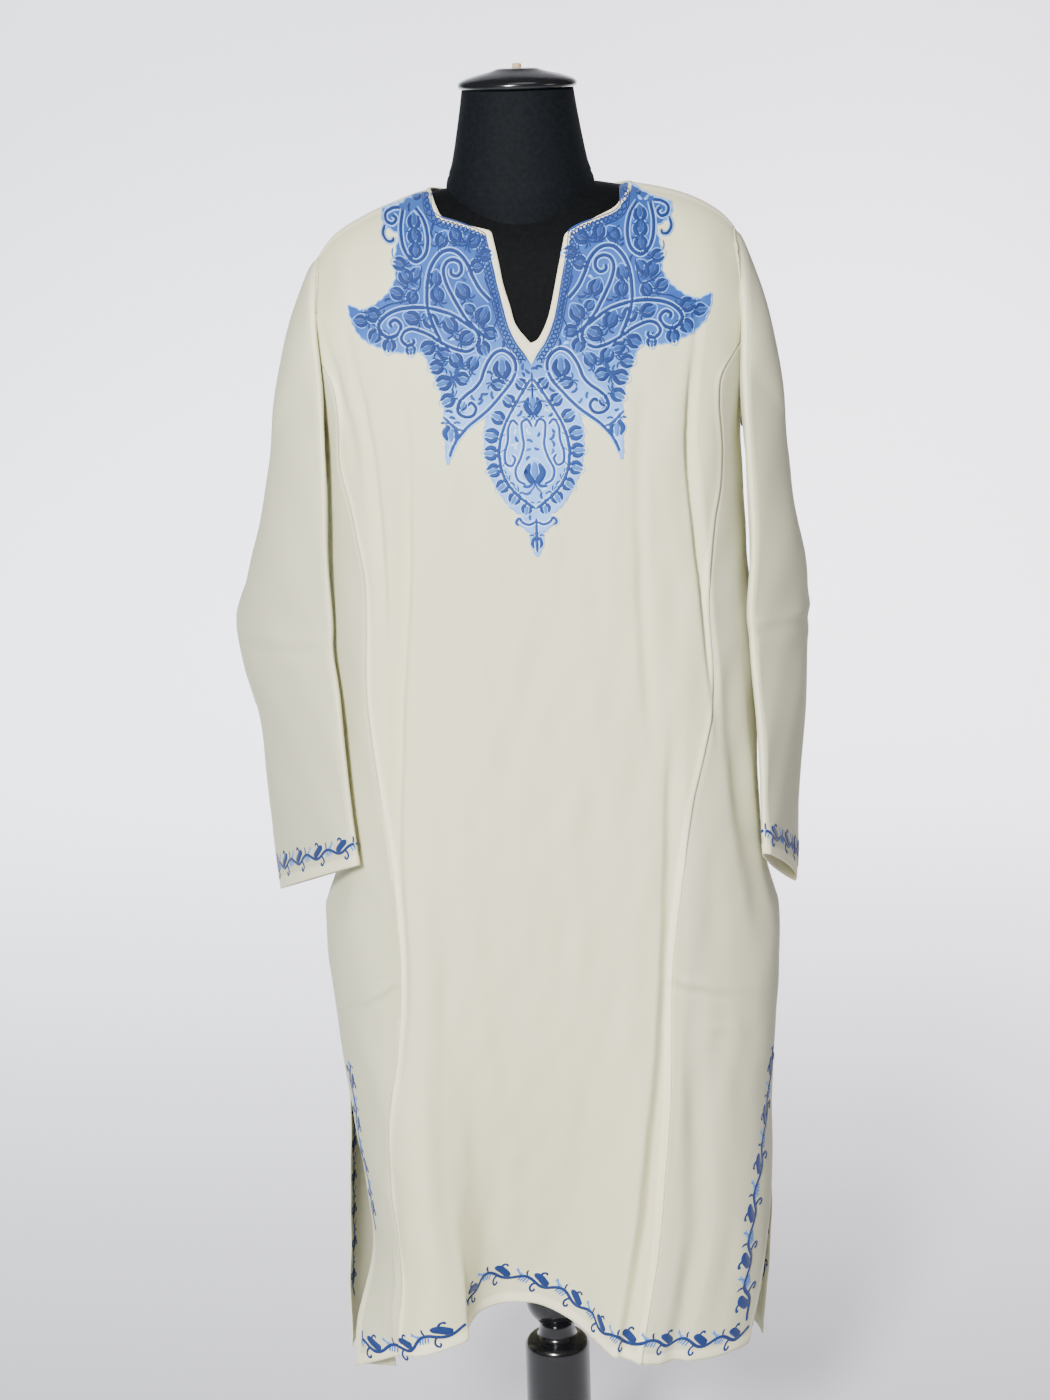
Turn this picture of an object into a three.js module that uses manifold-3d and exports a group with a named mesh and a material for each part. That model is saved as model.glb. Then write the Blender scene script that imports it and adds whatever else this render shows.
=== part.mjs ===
// A pheran, a loose Kashmiri overdress, worn on a limbless dress form with its pole and round base.
// Millimetres. X runs across the dress, -Y is its front, Z is up from the floor.
import * as THREE from "three";
import { mergeVertices } from "three/addons/utils/BufferGeometryUtils.js";
import Module from "manifold-3d";

const wasm = await Module();
wasm.setup();

// Cloth
const clothWall = 1.6;
const seamGap = 0.3;
const bindingWall = 2.1;
const bindingLift = 0.5;
const shoulderRollFront = 65;
const shoulderRollBack = 40;
const centreX = 4;
const chestRow = 1275;
const armpitZ = 1190;
const armholeExtraRight = 7.5;
const backSquare = 0.34;
const levelRow = 445;
const backHemZ = 252;

// Sleeves
const ridgeHalfWidth = 6;
const sleeveClearance = 2;
const sleeveRootGap = 4;
const sleeveRootX = 150;
const sleeveRootZ = 1280;

// Turned-under corner of the left front slit
const turnRadius = 6;
const turnAngle = THREE.MathUtils.degToRad(122);
const turnedLength = 52;
const turnedDrop = 11;

// Dress form
const formClearance = 3.2;
const formHalf = 170;
const formSquare = 0.36;
const formBottomZ = 690;
const neckOffsetY = 2;
const neckTopZ = 1502;
const neckFlatten = 0.95;
const capTopZ = 1520;
const capRimRadius = 54;
const pegRadius = 4;
const pegHeight = 4;

// Stand
const baseRadius = 170;
const baseThickness = 28;
const footRadius = 37;
const columnRadius = 33;
const columnTopZ = 257;
const ballRadius = 31;
const ballZ = 302;
const poleRadius = 14;
const flangeRadius = 34;

// The first column of a table is the one it is read by, from its highest value down.
function table(names, rows) {
  const keys = names.split(" ");
  return rows.map((row) => Object.fromEntries(keys.map((key, i) => [key, row[i]])));
}

// Reads a column between rows, on a smooth curve through them.
function column(rows, name, at) {
  const key = Object.keys(rows[0])[0];
  const last = rows.length - 1;
  if (at >= rows[0][key]) return rows[0][name];
  if (at <= rows[last][key]) return rows[last][name];
  let i = 0;
  while (at < rows[i + 1][key]) i += 1;
  const span = rows[i][key] - rows[i + 1][key];
  const t = (rows[i][key] - at) / span;
  const slope = (k) => {
    const above = rows[Math.max(k - 1, 0)];
    const below = rows[Math.min(k + 1, last)];
    return ((below[name] - above[name]) / (above[key] - below[key])) * span;
  };
  const t2 = t * t;
  const t3 = t2 * t;
  return (2 * t3 - 3 * t2 + 1) * rows[i][name] + (t3 - 2 * t2 + t) * slope(i)
    + (3 * t2 - 2 * t3) * rows[i + 1][name] + (t3 - t2) * slope(i + 1);
}

// Half widths and depths of the dress by height. A front half turns through its angle from the centre
// to its edge: 90 degrees where front and back are joined, less beside the open slits. Square fills out
// the corners between middle and side.
const bodyColumns = "z left right front leftTurn rightTurn leftSquare rightSquare backLeft backRight back";
const bodyRows = table(bodyColumns, [
  [1430, 201, 209, 62, 90, 90, 0.36, 0.36, 201, 209, 90],
  [1385, 201, 209, 72, 90, 90, 0.36, 0.36, 201, 209, 90],
  [1350, 201, 209, 83, 90, 90, 0.36, 0.36, 201, 209, 91],
  [1300, 201, 209, 99, 90, 90, 0.36, 0.36, 201, 209, 93],
  [1250, 197, 205, 113, 90, 90, 0.36, 0.36, 197, 205, 95],
  [1220, 193, 201, 119, 90, 90, 0.36, 0.36, 193, 201, 96],
  [1190, 190, 198, 123, 90, 90, 0.36, 0.36, 190, 198, 96],
  [1100, 191, 201, 125, 90, 90, 0.38, 0.36, 191, 201, 98],
  [1000, 196, 208, 124, 90, 90, 0.40, 0.38, 196, 208, 100],
  [900, 203, 216, 124, 90, 90, 0.44, 0.40, 203, 216, 103],
  [800, 210, 224, 124, 90, 90, 0.50, 0.44, 210, 224, 107],
  [700, 212, 231, 122, 90, 90, 0.58, 0.48, 212, 231, 110],
  [610, 206, 227, 120, 90, 90, 0.68, 0.54, 206, 227, 110],
  [550, 199, 222, 118, 90, 90, 0.78, 0.60, 199, 222, 110],
  [440, 184, 220, 114, 82, 84, 0.86, 0.66, 203, 221, 108],
  [385, 181, 213, 114, 76, 78, 0.80, 0.66, 206, 221, 106],
  [320, 197, 199, 116, 66, 68, 0.62, 0.60, 209, 217, 104],
  [250, 199, 180, 118, 60, 60, 0.50, 0.50, 210, 210, 102],
]);

// Height of the shoulder line, by distance out from the centre.
const shoulderRows = table("out left right", [
  [215, 1270, 1275],
  [203, 1318, 1334],
  [196, 1345, 1361],
  [186, 1364, 1377],
  [172, 1379, 1390],
  [150, 1392, 1402],
  [125, 1403, 1410],
  [90, 1415, 1417],
  [60, 1421, 1422],
  [0, 1426, 1426],
]);

const armholeRows = table("z x", [
  [1366, 184],
  [1330, 187],
  [1270, 189],
  [1190, 190.5],
]);

// Folds of the cloth: q is -1 and 1 at the side seams. Each is a trough, or a ridge where its depth is
// negative, with its width before and after its middle; lean moves its middle sideways.
const foldColumns = "z at depth before after lean";
const sleeveHollows = [
  {
    name: "hollow under the left sleeve",
    rows: table(foldColumns, [
      [1020, -1, 0, 0.4, 0.4, 0],
      [960, -1, 4, 0.4, 0.4, 0],
      [900, -1, 11, 0.4, 0.42, 0],
      [840, -1, 17, 0.4, 0.46, 0],
      [790, -1, 18, 0.4, 0.46, 0],
      [735, -1, 0, 0.4, 0.42, 0],
    ]),
  },
  {
    name: "hollow under the right sleeve",
    rows: table(foldColumns, [
      [980, 1, 0, 0.4, 0.4, 0],
      [920, 1, 5, 0.4, 0.4, 0],
      [860, 1, 9, 0.4, 0.4, 0],
      [800, 1, 11, 0.4, 0.4, 0],
      [770, 1, 9, 0.4, 0.4, 0],
      [725, 1, 0, 0.4, 0.4, 0],
    ]),
  },
];
const frontFolds = [
  ...sleeveHollows,
  {
    name: "left inner crease",
    rows: table(foldColumns, [
      [1320, -0.60, 0, 0.04, 0.04, 0],
      [1220, -0.545, 4, 0.04, 0.035, 0],
      [1140, -0.525, 5, 0.04, 0.035, 0],
      [1060, -0.505, 4, 0.04, 0.035, 0],
      [990, -0.495, 0, 0.04, 0.035, 0],
    ]),
  },
  {
    name: "left plane edge",
    rows: table(foldColumns, [
      [1260, -0.37, 0, 0.05, 0.03, 0],
      [1180, -0.395, 4, 0.06, 0.03, 0],
      [1060, -0.412, 6, 0.07, 0.03, 0],
      [960, -0.436, 6, 0.07, 0.03, 0],
      [820, -0.447, 5, 0.07, 0.03, 0],
      [720, -0.43, 6, 0.08, 0.03, 0],
      [650, -0.46, 4, 0.08, 0.04, 0],
      [580, -0.52, 0, 0.08, 0.05, 0],
    ]),
  },
  {
    name: "left armhole trough",
    rows: table(foldColumns, [
      [1310, -0.73, 0, 0.04, 0.05, 0],
      [1250, -0.67, 3, 0.04, 0.05, 0],
      [1170, -0.62, 0, 0.04, 0.05, 0],
    ]),
  },
  {
    name: "left hem lobe",
    rows: table(foldColumns, [
      [860, -0.36, 0, 0.08, 0.09, 0],
      [700, -0.37, -4, 0.12, 0.09, 0],
      [600, -0.40, -8, 0.16, 0.08, 0],
      [500, -0.45, -11, 0.20, 0.09, 0],
      [400, -0.50, -12, 0.22, 0.12, 0],
      [250, -0.52, -13, 0.25, 0.14, 0],
    ]),
  },
  {
    name: "left hem lobe lip",
    rows: table(foldColumns, [
      [430, -0.40, 0, 0.10, 0.06, 0],
      [360, -0.40, -1, 0.10, 0.05, 5],
      [290, -0.395, -2, 0.10, 0.05, 9],
      [250, -0.395, -2, 0.10, 0.05, 10],
    ]),
  },
  {
    name: "centre hem hollow",
    flat: true,
    rows: table(foldColumns, [
      [800, -0.10, 0, 0.22, 0.30, 0],
      [650, -0.08, 4, 0.26, 0.33, -1],
      [550, -0.07, 12, 0.29, 0.34, -3],
      [450, -0.07, 28, 0.32, 0.33, -7],
      [360, -0.06, 48, 0.34, 0.31, -12],
      [250, -0.06, 66, 0.36, 0.30, -16],
    ]),
  },
  {
    name: "right centre facet",
    rows: table(foldColumns, [
      [1250, 0.34, 0, 0.03, 0.03, 0],
      [1150, 0.325, 2.5, 0.03, 0.03, 0],
      [1000, 0.317, 3, 0.03, 0.03, 0],
      [900, 0.326, 0, 0.03, 0.03, 0],
    ]),
  },
  {
    name: "right hem lobe edge",
    rows: table(foldColumns, [
      [950, 0.40, 0, 0.03, 0.05, 0],
      [865, 0.37, 4, 0.03, 0.05, 0],
      [768, 0.35, 5, 0.035, 0.05, 0],
      [689, 0.33, 7, 0.035, 0.055, 0],
      [600, 0.315, 9, 0.035, 0.06, 0],
      [495, 0.295, 12, 0.04, 0.07, 0],
      [420, 0.285, 12, 0.045, 0.075, 0],
      [330, 0.275, 7, 0.05, 0.08, 0],
      [250, 0.27, 4, 0.05, 0.08, 0],
    ]),
  },
  {
    name: "right upper trough",
    rows: table(foldColumns, [
      [1330, 0.54, 0, 0.03, 0.03, 0],
      [1250, 0.51, 3, 0.02, 0.035, 0],
      [1190, 0.515, 5, 0.02, 0.035, 0],
      [1120, 0.53, 5, 0.02, 0.04, 0],
      [1030, 0.545, 4, 0.02, 0.04, 0],
      [960, 0.56, 3, 0.02, 0.04, 0],
      [900, 0.56, 0, 0.02, 0.04, 0],
    ]),
  },
  {
    name: "right low trough",
    rows: table(foldColumns, [
      [660, 0.41, 0, 0.05, 0.05, 0],
      [550, 0.43, 4, 0.06, 0.06, 0],
      [420, 0.47, 5, 0.07, 0.07, 0],
      [250, 0.52, 5, 0.08, 0.08, 0],
    ]),
  },
  {
    name: "right side hollow",
    rows: table(foldColumns, [
      [1000, 0.66, 0, 0.08, 0.08, 0],
      [900, 0.65, 6, 0.08, 0.10, 0],
      [800, 0.68, 6, 0.09, 0.10, 0],
      [700, 0.72, 0, 0.09, 0.10, 0],
    ]),
  },
];
const backFolds = [
  ...sleeveHollows,
  {
    name: "back left trough",
    rows: table(foldColumns, [
      [1280, -0.52, 0, 0.06, 0.05, 0],
      [1150, -0.47, 5, 0.07, 0.05, 0],
      [900, -0.44, 6, 0.08, 0.06, 0],
      [600, -0.46, 8, 0.10, 0.08, 0],
      [250, -0.48, 14, 0.13, 0.11, 0],
    ]),
  },
  {
    name: "back middle trough",
    rows: table(foldColumns, [
      [1180, 0.04, 0, 0.06, 0.06, 0],
      [1000, 0.05, 3, 0.07, 0.06, 0],
      [600, 0.02, 6, 0.11, 0.10, 0],
      [250, 0.00, 13, 0.15, 0.14, 0],
    ]),
  },
  {
    name: "back right trough",
    rows: table(foldColumns, [
      [1300, 0.50, 0, 0.05, 0.06, 0],
      [1120, 0.49, 6, 0.05, 0.07, 0],
      [850, 0.44, 5, 0.06, 0.08, 0],
      [600, 0.43, 9, 0.08, 0.10, 0],
      [250, 0.45, 15, 0.11, 0.12, 0],
    ]),
  },
];

// Seams between panels and gores, as q by height.
const seamRows = {
  front: {
    left: table("z q", [
      [1278, -0.797],
      [1254, -0.715],
      [1228, -0.70],
      [1180, -0.73],
      [1138, -0.664],
      [1084, -0.602],
      [1040, -0.588],
      [963, -0.578],
      [888, -0.524],
      [842, -0.495],
      [803, -0.475],
      [754, -0.46],
      [699, -0.453],
      [620, -0.49],
      [550, -0.56],
      [450, -0.68],
      [250, -0.70],
    ]),
    right: table("z q", [
      [1280, 0.797],
      [1253, 0.655],
      [1227, 0.645],
      [1190, 0.68],
      [1154, 0.67],
      [1119, 0.623],
      [1083, 0.589],
      [1047, 0.571],
      [962, 0.566],
      [907, 0.502],
      [852, 0.437],
      [747, 0.369],
      [683, 0.345],
      [565, 0.346],
      [461, 0.335],
      [250, 0.355],
    ]),
  },
  back: {
    left: table("z q", [
      [1278, -0.797],
      [1250, -0.71],
      [1180, -0.69],
      [1080, -0.62],
      [900, -0.54],
      [700, -0.49],
      [250, -0.50],
    ]),
    right: table("z q", [
      [1280, 0.797],
      [1250, 0.69],
      [1180, 0.67],
      [1080, 0.60],
      [900, 0.52],
      [700, 0.46],
      [250, 0.47],
    ]),
  },
};

// Columns of the front panel follow its two longest fold lines.
const frontLeftLine = table("z q", [
  [1270, -0.37],
  [1180, -0.395],
  [1060, -0.412],
  [960, -0.43],
  [820, -0.43],
  [720, -0.41],
  [630, -0.34],
  [535, -0.354],
  [410, -0.385],
  [250, -0.38],
]);
const frontRightLine = table("z q", [
  [1270, 0.34],
  [1150, 0.325],
  [1000, 0.318],
  [900, 0.345],
  [865, 0.365],
  [768, 0.348],
  [689, 0.33],
  [600, 0.315],
  [495, 0.295],
  [420, 0.285],
  [250, 0.27],
]);

// Height of the front hem, by q.
const frontHemRows = table("q z", [
  [1, 284],
  [0.70, 286],
  [0.42, 286],
  [0.26, 292],
  [0.14, 306],
  [-0.02, 327],
  [-0.18, 330],
  [-0.32, 326],
  [-0.48, 314],
  [-0.70, 300],
  [-1, 275],
]);

// Neck opening from the shoulder round to the slit and down to its point: places out from x = 0 and
// drops below the shoulder line. The binding reaches across and down from that edge to the panel;
// the armhole column is the drop at the other end of the same row.
const neckRows = table("leftX leftDrop rightX rightDrop across down armhole", [
  [-82, 0, 98, 0, 5, 0, 0],
  [-81, 1.5, 97, 1.5, 5, 0, 1.5],
  [-79.5, 6, 95, 6, 5, 0.5, 6],
  [-76.5, 14, 90, 13, 4.5, 2, 13],
  [-70, 25, 81, 22.5, 3.5, 4, 22],
  [-52, 33, 60, 34, 1, 5, 30],
  [-28, 41.5, 38, 45.5, 7, 5, 38],
  [-23, 65, 30, 80, 7.5, 0, 46],
  [-19, 87, 25, 102, 7.5, 0, 54],
  [-14, 105, 20, 119.5, 7.5, 1, 62],
  [-9, 123, 12, 135, 7.5, 2, 70],
  [4, 141, 4, 141, 0, 10, 78],
]);
const neckSteps = 10;
const sideSteps = 4;
const panelSteps = [4, 7, 7, 4];
const lineReach = 0.94;
const goreShares = [0, 0.2, 0.4, 0.6, 0.8, 1];
const turnedShares = [0, 0.33, 0.67, 1];
const backNeck = { middle: 8, openHalf: 90, openDrop: 15.5, panelHalf: 95, panelDrop: 20.5 };

const gridRows = [1275, 1255, 1230, 1200, 1165, 1125, 1080, 1035, 990, 945, 900, 855, 810, 765, 720, 680,
  640, 600, 560, 520, 480, 445, 410, 375, 345, 310, 280];
const backRows = gridRows.filter((row, i) => i % 2 === 0 || row < levelRow);
const backTopShares = [0, 0.012, 0.05, 0.11, 0.2, 0.32, 0.46, 0.62, 0.8, 1];

// Length of cloth turned under at the left front slit, by height.
const turnedRows = table("z length", [
  [415, 0],
  [380, 14],
  [340, 30],
  [300, 44],
  [250, turnedLength],
]);
// Sleeve rings: the pressed ridge in front, the fold at the back, how far the two sides swell, and how
// far a ring has left the armhole.
const sleeveColumns = "ridgeX ridgeY ridgeZ backX backY backZ outer inner freed";
const sleeveRows = {
  left: table(sleeveColumns, [
    [-192, -16, 1354, -198, 4, 1184, 54, 50, 0.15],
    [-194, -38, 1335, -210, 18, 1168, 42, 18, 0.5],
    [-195, -56, 1295, -226, 40, 1140, 26, 5, 1],
    [-193, -64, 1245, -243, 58, 1105, 24, 10, 1],
    [-193, -68, 1180, -262, 68, 1072, 22, 10, 1],
    [-195, -68, 1100, -280, 70, 1035, 20, 12, 1],
    [-194, -68, 1035, -290, 68, 1003, 18, 12, 1],
    [-194, -70, 1000, -284, 60, 962, 17, 10, 1],
    [-187.5, -83, 957, -271, 52, 910, 16, 9, 1],
    [-180, -97, 901, -266, 44, 850, 15, 7, 1],
    [-175, -108, 848, -262, 36, 787, 14, 6, 1],
    [-171, -114, 810, -258, 29, 740, 13, 5, 1],
  ]),
  right: table(sleeveColumns, [
    [200, -16, 1366, 206, 4, 1184, 54, 50, 0.15],
    [200, -38, 1345, 216, 20, 1168, 40, 18, 0.5],
    [202, -56, 1299, 227, 44, 1140, 24, 5, 1],
    [202, -64, 1245, 238, 64, 1105, 22, 10, 1],
    [205, -68, 1180, 248, 76, 1072, 20, 10, 1],
    [208, -70, 1100, 262, 78, 1035, 20, 12, 1],
    [205, -70, 1035, 267, 76, 1003, 18, 12, 1],
    [206, -70, 1000, 265, 70, 962, 17, 10, 1],
    [207.5, -80, 951, 262, 62, 905, 16, 9, 1],
    [207, -88, 898, 256, 58, 842, 13, 8, 1],
    [207, -96, 844, 253, 52, 775, 11, 6, 1],
    [208, -102, 804, 251, 48, 724, 10, 5, 1],
  ]),
};
const sleeveAngles = [0, 15, 40, 65, 90, 115, 140, 162, 180, 198, 220, 245, 270, 295, 320, 345];

// Half width and depths of the dress form by height, below the shoulders.
const formRows = table("z half front back", [
  [1430, 170, 59.2, 87.4],
  [1385, 170, 69, 87.2],
  [1350, 170, 79.7, 87.6],
  [1300, 168, 94.2, 88.6],
  [1250, 163, 104, 88],
  [1190, 158, 108, 87],
  [1120, 150, 102, 84],
  [1040, 140, 92, 80],
  [960, 142, 94, 84],
  [860, 160, 100, 94],
  [780, 166, 100, 98],
  [690, 158, 94, 92],
]);
const neckProfile = table("z radius", [
  [1502, 50.5],
  [1485, 53],
  [1459, 57.5],
  [1437, 62],
  [1427, 65.5],
  [1418, 67.5],
  [1405, 68],
  [1380, 66],
]);

const cloth = { color: "#dcd9ca", roughness: 0.85, metalness: 0 };
const binding = { color: "#e4e0d0", roughness: 0.8, metalness: 0 };
const formCover = { color: "#1a1f24", roughness: 0.75, metalness: 0 };
const gloss = { color: "#141518", roughness: 0.2, metalness: 0 };
const pegWood = { color: "#cbb98f", roughness: 0.7, metalness: 0 };

const lerp = THREE.MathUtils.lerp;
const degToRad = THREE.MathUtils.degToRad;

function shoulderHeight(x) {
  return column(shoulderRows, x < centreX ? "left" : "right", Math.abs(x - centreX));
}

function armholeX(sign, z) {
  return sign * (column(armholeRows, "x", z) + (sign > 0 ? armholeExtraRight : 0));
}

// The height on the armhole that is a given drop below the shoulder line.
function armholeZ(sign, drop) {
  let z = chestRow;
  for (let i = 0; i < 12; i += 1) z = shoulderHeight(armholeX(sign, z)) - drop;
  return z;
}

// How far the surface has rolled over the shoulder, from 0 on the shoulder line to 1 below it.
function shoulderRoll(side, drop) {
  const roll = side === "front" ? shoulderRollFront : shoulderRollBack;
  if (drop <= 0) return 0;
  if (drop >= roll) return 1;
  return Math.sqrt(1 - (1 - drop / roll) ** 2);
}

function halfWidth(side, sign, z) {
  if (side === "back") return column(bodyRows, sign < 0 ? "backLeft" : "backRight", z);
  return column(bodyRows, sign < 0 ? "left" : "right", z);
}

// The dress before its folds.
function plainPoint(side, q, z) {
  const front = side === "front";
  const hand = q < 0 ? "left" : "right";
  const turn = degToRad(front ? Math.min(90, column(bodyRows, `${hand}Turn`, z)) : 90);
  const square = front ? column(bodyRows, `${hand}Square`, z) : backSquare;
  const angle = q * turn;
  const x = (halfWidth(side, q, z) * Math.sin(angle)) / Math.sin(turn);
  const depth = column(bodyRows, side, z) * Math.cos(angle) * (1 + square * Math.sin(angle) ** 2);
  const y = depth * shoulderRoll(side, shoulderHeight(x) - z);
  return new THREE.Vector3(x, front ? -y : y, z);
}

function foldShape(share, flat) {
  if (Math.abs(share) >= 1) return 0;
  return (1 - (flat ? share ** 4 : share ** 2)) ** 2;
}

function foldShift(side, q, z) {
  let depth = 0;
  let lean = 0;
  for (const fold of side === "front" ? frontFolds : backFolds) {
    if (z > fold.rows[0].z) continue;
    const at = column(fold.rows, "at", z);
    const width = column(fold.rows, q > at ? "after" : "before", z);
    const shape = foldShape((q - at) / width, fold.flat);
    depth += column(fold.rows, "depth", z) * shape;
    lean += column(fold.rows, "lean", z) * shape;
  }
  return { depth, lean };
}

// A point of the dress's outer surface.
function clothPoint(side, q, z) {
  const point = plainPoint(side, q, z);
  const { depth, lean } = foldShift(side, q, z);
  if (depth === 0 && lean === 0) return point;
  const step = 0.002;
  const along = plainPoint(side, Math.min(q + step, 1), z).sub(plainPoint(side, Math.max(q - step, -1), z));
  along.setZ(0).normalize();
  const inward = new THREE.Vector3(-along.y, along.x, 0).multiplyScalar(side === "front" ? 1 : -1);
  return point.addScaledVector(inward, depth).addScaledVector(along, lean);
}

// The q of a place across the dress.
function qAt(side, x, z) {
  const ratio = Math.min(1, Math.abs(x) / halfWidth(side, x, z));
  return (Math.sign(x) * Math.asin(ratio)) / (Math.PI / 2);
}

function dropPoint(side, x, drop) {
  const z = shoulderHeight(x) - drop;
  return clothPoint(side, qAt(side, x, z), z);
}

// The direction out of the cloth, of the folded surface or of the plain one under it.
function facingOut(side, q, z, place = clothPoint) {
  const point = place(side, q, z);
  const drop = shoulderHeight(point.x) - z;
  let across;
  let down;
  if (drop < shoulderRollFront && z > armpitZ) {
    across = dropPoint(side, point.x + 0.5, drop).sub(dropPoint(side, point.x - 0.5, drop));
    down = dropPoint(side, point.x, drop + 0.02).sub(dropPoint(side, point.x, Math.max(drop - 0.02, 0)));
  } else {
    across = place(side, Math.min(q + 0.003, 1), z).sub(place(side, Math.max(q - 0.003, -1), z));
    down = place(side, q, z - 1).sub(place(side, q, z + 1));
  }
  return across.cross(down).normalize().multiplyScalar(side === "front" ? -1 : 1);
}

// A vertex of the dress: its point and the direction out of the cloth there.
function clothVertex(side, q, z) {
  return { point: clothPoint(side, q, z), out: facingOut(side, q, z) };
}

function dropVertex(side, x, drop) {
  const z = shoulderHeight(x) - drop;
  return clothVertex(side, qAt(side, x, z), z);
}

// Quads between the rows of a grid of vertices, all turned to face the way the vertices point.
function gridQuads(rows, closed = false) {
  const quads = [];
  let facing = 0;
  for (let r = 0; r + 1 < rows.length; r += 1) {
    const count = rows[r].length;
    for (let c = 0; c < (closed ? count : count - 1); c += 1) {
      const next = (c + 1) % count;
      const [a, b, d] = [rows[r][c], rows[r][next], rows[r + 1][c]];
      facing += b.point.clone().sub(a.point).cross(d.point.clone().sub(a.point)).dot(a.out);
      quads.push([a, b, rows[r + 1][next], d]);
    }
  }
  return facing < 0 ? quads.map((quad) => quad.reverse()) : quads;
}

// Closes a sheet of quads into a wall: one face lifted out, one sunk in, and a strip round each free edge.
function wallGeometry(quads, lift, wall) {
  const vertices = [];
  const indexOf = new Map();
  const numberOf = (vertex) => {
    const key = vertex.point.toArray().map((value) => Math.round(value * 100)).join(" ");
    if (!indexOf.has(key)) {
      indexOf.set(key, vertices.length);
      vertices.push(vertex);
    }
    return indexOf.get(key);
  };
  const faces = [];
  for (const quad of quads) {
    const [a, b, c, d] = quad.map(numberOf);
    for (const face of [[a, b, c], [a, c, d]]) {
      if (new Set(face).size === 3) faces.push(face);
    }
  }
  const positions = [];
  for (const height of [lift, lift - wall]) {
    for (const { point, out } of vertices) positions.push(...point.clone().addScaledVector(out, height));
  }
  const inner = vertices.length;
  const edges = new Set();
  for (const [a, b, c] of faces) edges.add(`${a} ${b}`).add(`${b} ${c}`).add(`${c} ${a}`);
  const index = [];
  for (const [a, b, c] of faces) {
    index.push(a, b, c, a + inner, c + inner, b + inner);
    for (const [from, to] of [[a, b], [b, c], [c, a]]) {
      if (edges.has(`${to} ${from}`)) continue;
      index.push(to, from, from + inner, to, from + inner, to + inner);
    }
  }
  const geometry = new THREE.BufferGeometry();
  geometry.setAttribute("position", new THREE.Float32BufferAttribute(positions, 3));
  geometry.setIndex(index);
  return geometry;
}

// How far down a row lies between the last level one and the hem.
function lowerShare(row) {
  return (levelRow - Math.min(row, levelRow)) / (levelRow - gridRows[gridRows.length - 1]);
}

// Heights of the rows of a panel: level above, and following the hem below.
function rowHeight(side, row, q) {
  if (row >= levelRow) return row;
  const hem = side === "front" ? column(frontHemRows, "z", q) : backHemZ;
  return lerp(levelRow, hem, lowerShare(row));
}

// Places between neighbouring lines, with a number of steps between each two.
function spread(lines, steps) {
  const places = [lines[0]];
  for (let i = 0; i < steps.length; i += 1) {
    for (let k = 1; k <= steps[i]; k += 1) places.push(lerp(lines[i], lines[i + 1], k / steps[i]));
  }
  return places;
}

// Half a seam's gap, as a step of q.
function gapQ(side, q, z) {
  const step = 0.001;
  const beside = clothPoint(side, q - Math.sign(q) * step, z);
  return ((seamGap / 2) * step) / clothPoint(side, q, z).distanceTo(beside);
}

function seamQ(side, hand, z) {
  return column(seamRows[side][hand], "q", z);
}

// The q of a piece's edge beside a seam: inward is 1 for the panel and -1 for the gore.
function seamEdgeQ(side, hand, z, inward) {
  const q = seamQ(side, hand, z);
  return q - Math.sign(q) * inward * gapQ(side, q, z);
}

// Both edges at a seam take the facing of the plain surface at the seam, so that their walls stay apart.
function faceAsSeam(side, hand, row, vertex) {
  const q = seamQ(side, hand, row);
  vertex.out.copy(facingOut(side, q, rowHeight(side, row, q), plainPoint));
}

// The q places along one row of the front panel, from its left seam to its right one.
function frontPlaces(z) {
  const left = seamEdgeQ("front", "left", z, 1);
  const right = seamEdgeQ("front", "right", z, 1);
  const leftLine = Math.max(column(frontLeftLine, "q", z), left * lineReach);
  const rightLine = Math.min(column(frontRightLine, "q", z), right * lineReach);
  return spread([left, leftLine, qAt("front", centreX, z), rightLine, right], panelSteps);
}

function panelRows(side, rows, placesOf) {
  return rows.map((row) => {
    const vertices = placesOf(row).map((q) => clothVertex(side, q, rowHeight(side, row, q)));
    faceAsSeam(side, "left", row, vertices[0]);
    faceAsSeam(side, "right", row, vertices[vertices.length - 1]);
    return vertices;
  });
}

function frontPanelQuads() {
  const lower = panelRows("front", gridRows, frontPlaces);
  const topPlaces = lower[0].map((vertex) => vertex.point.x);
  const middle = panelSteps[0] + panelSteps[1];
  const quads = gridQuads(lower);
  for (const [hand, sign] of [["left", -1], ["right", 1]]) {
    const places = hand === "left" ? topPlaces.slice(0, middle + 1).reverse() : topPlaces.slice(middle);
    const last = places.length - 1;
    const shares = places.map((x) => (x - centreX) / (places[last] - centreX));
    const rows = neckRows.slice(0, -1).map((row) => {
      const innerX = row[`${hand}X`] + sign * row.across;
      const innerDrop = row[`${hand}Drop`] + row.down;
      const outerX = armholeX(sign, armholeZ(sign, row.armhole));
      return shares.map((share) => {
        const x = lerp(innerX, outerX, share);
        const drop = lerp(innerDrop, row.armhole, share);
        const vertex = dropVertex("front", x, drop);
        if (drop === 0) vertex.point.y = -seamGap / 2;
        return vertex;
      });
    });
    const chest = places.map((x) => lower[0][topPlaces.indexOf(x)]);
    quads.push(...gridQuads([...rows, chest]));
  }
  return quads;
}

// The drop of the back neck edge at a place across; zero outside it.
function backNeckDrop(x, half, drop) {
  const share = Math.min(1, Math.abs(x - backNeck.middle) / half);
  return drop * (1 - share ** 4);
}

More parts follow.
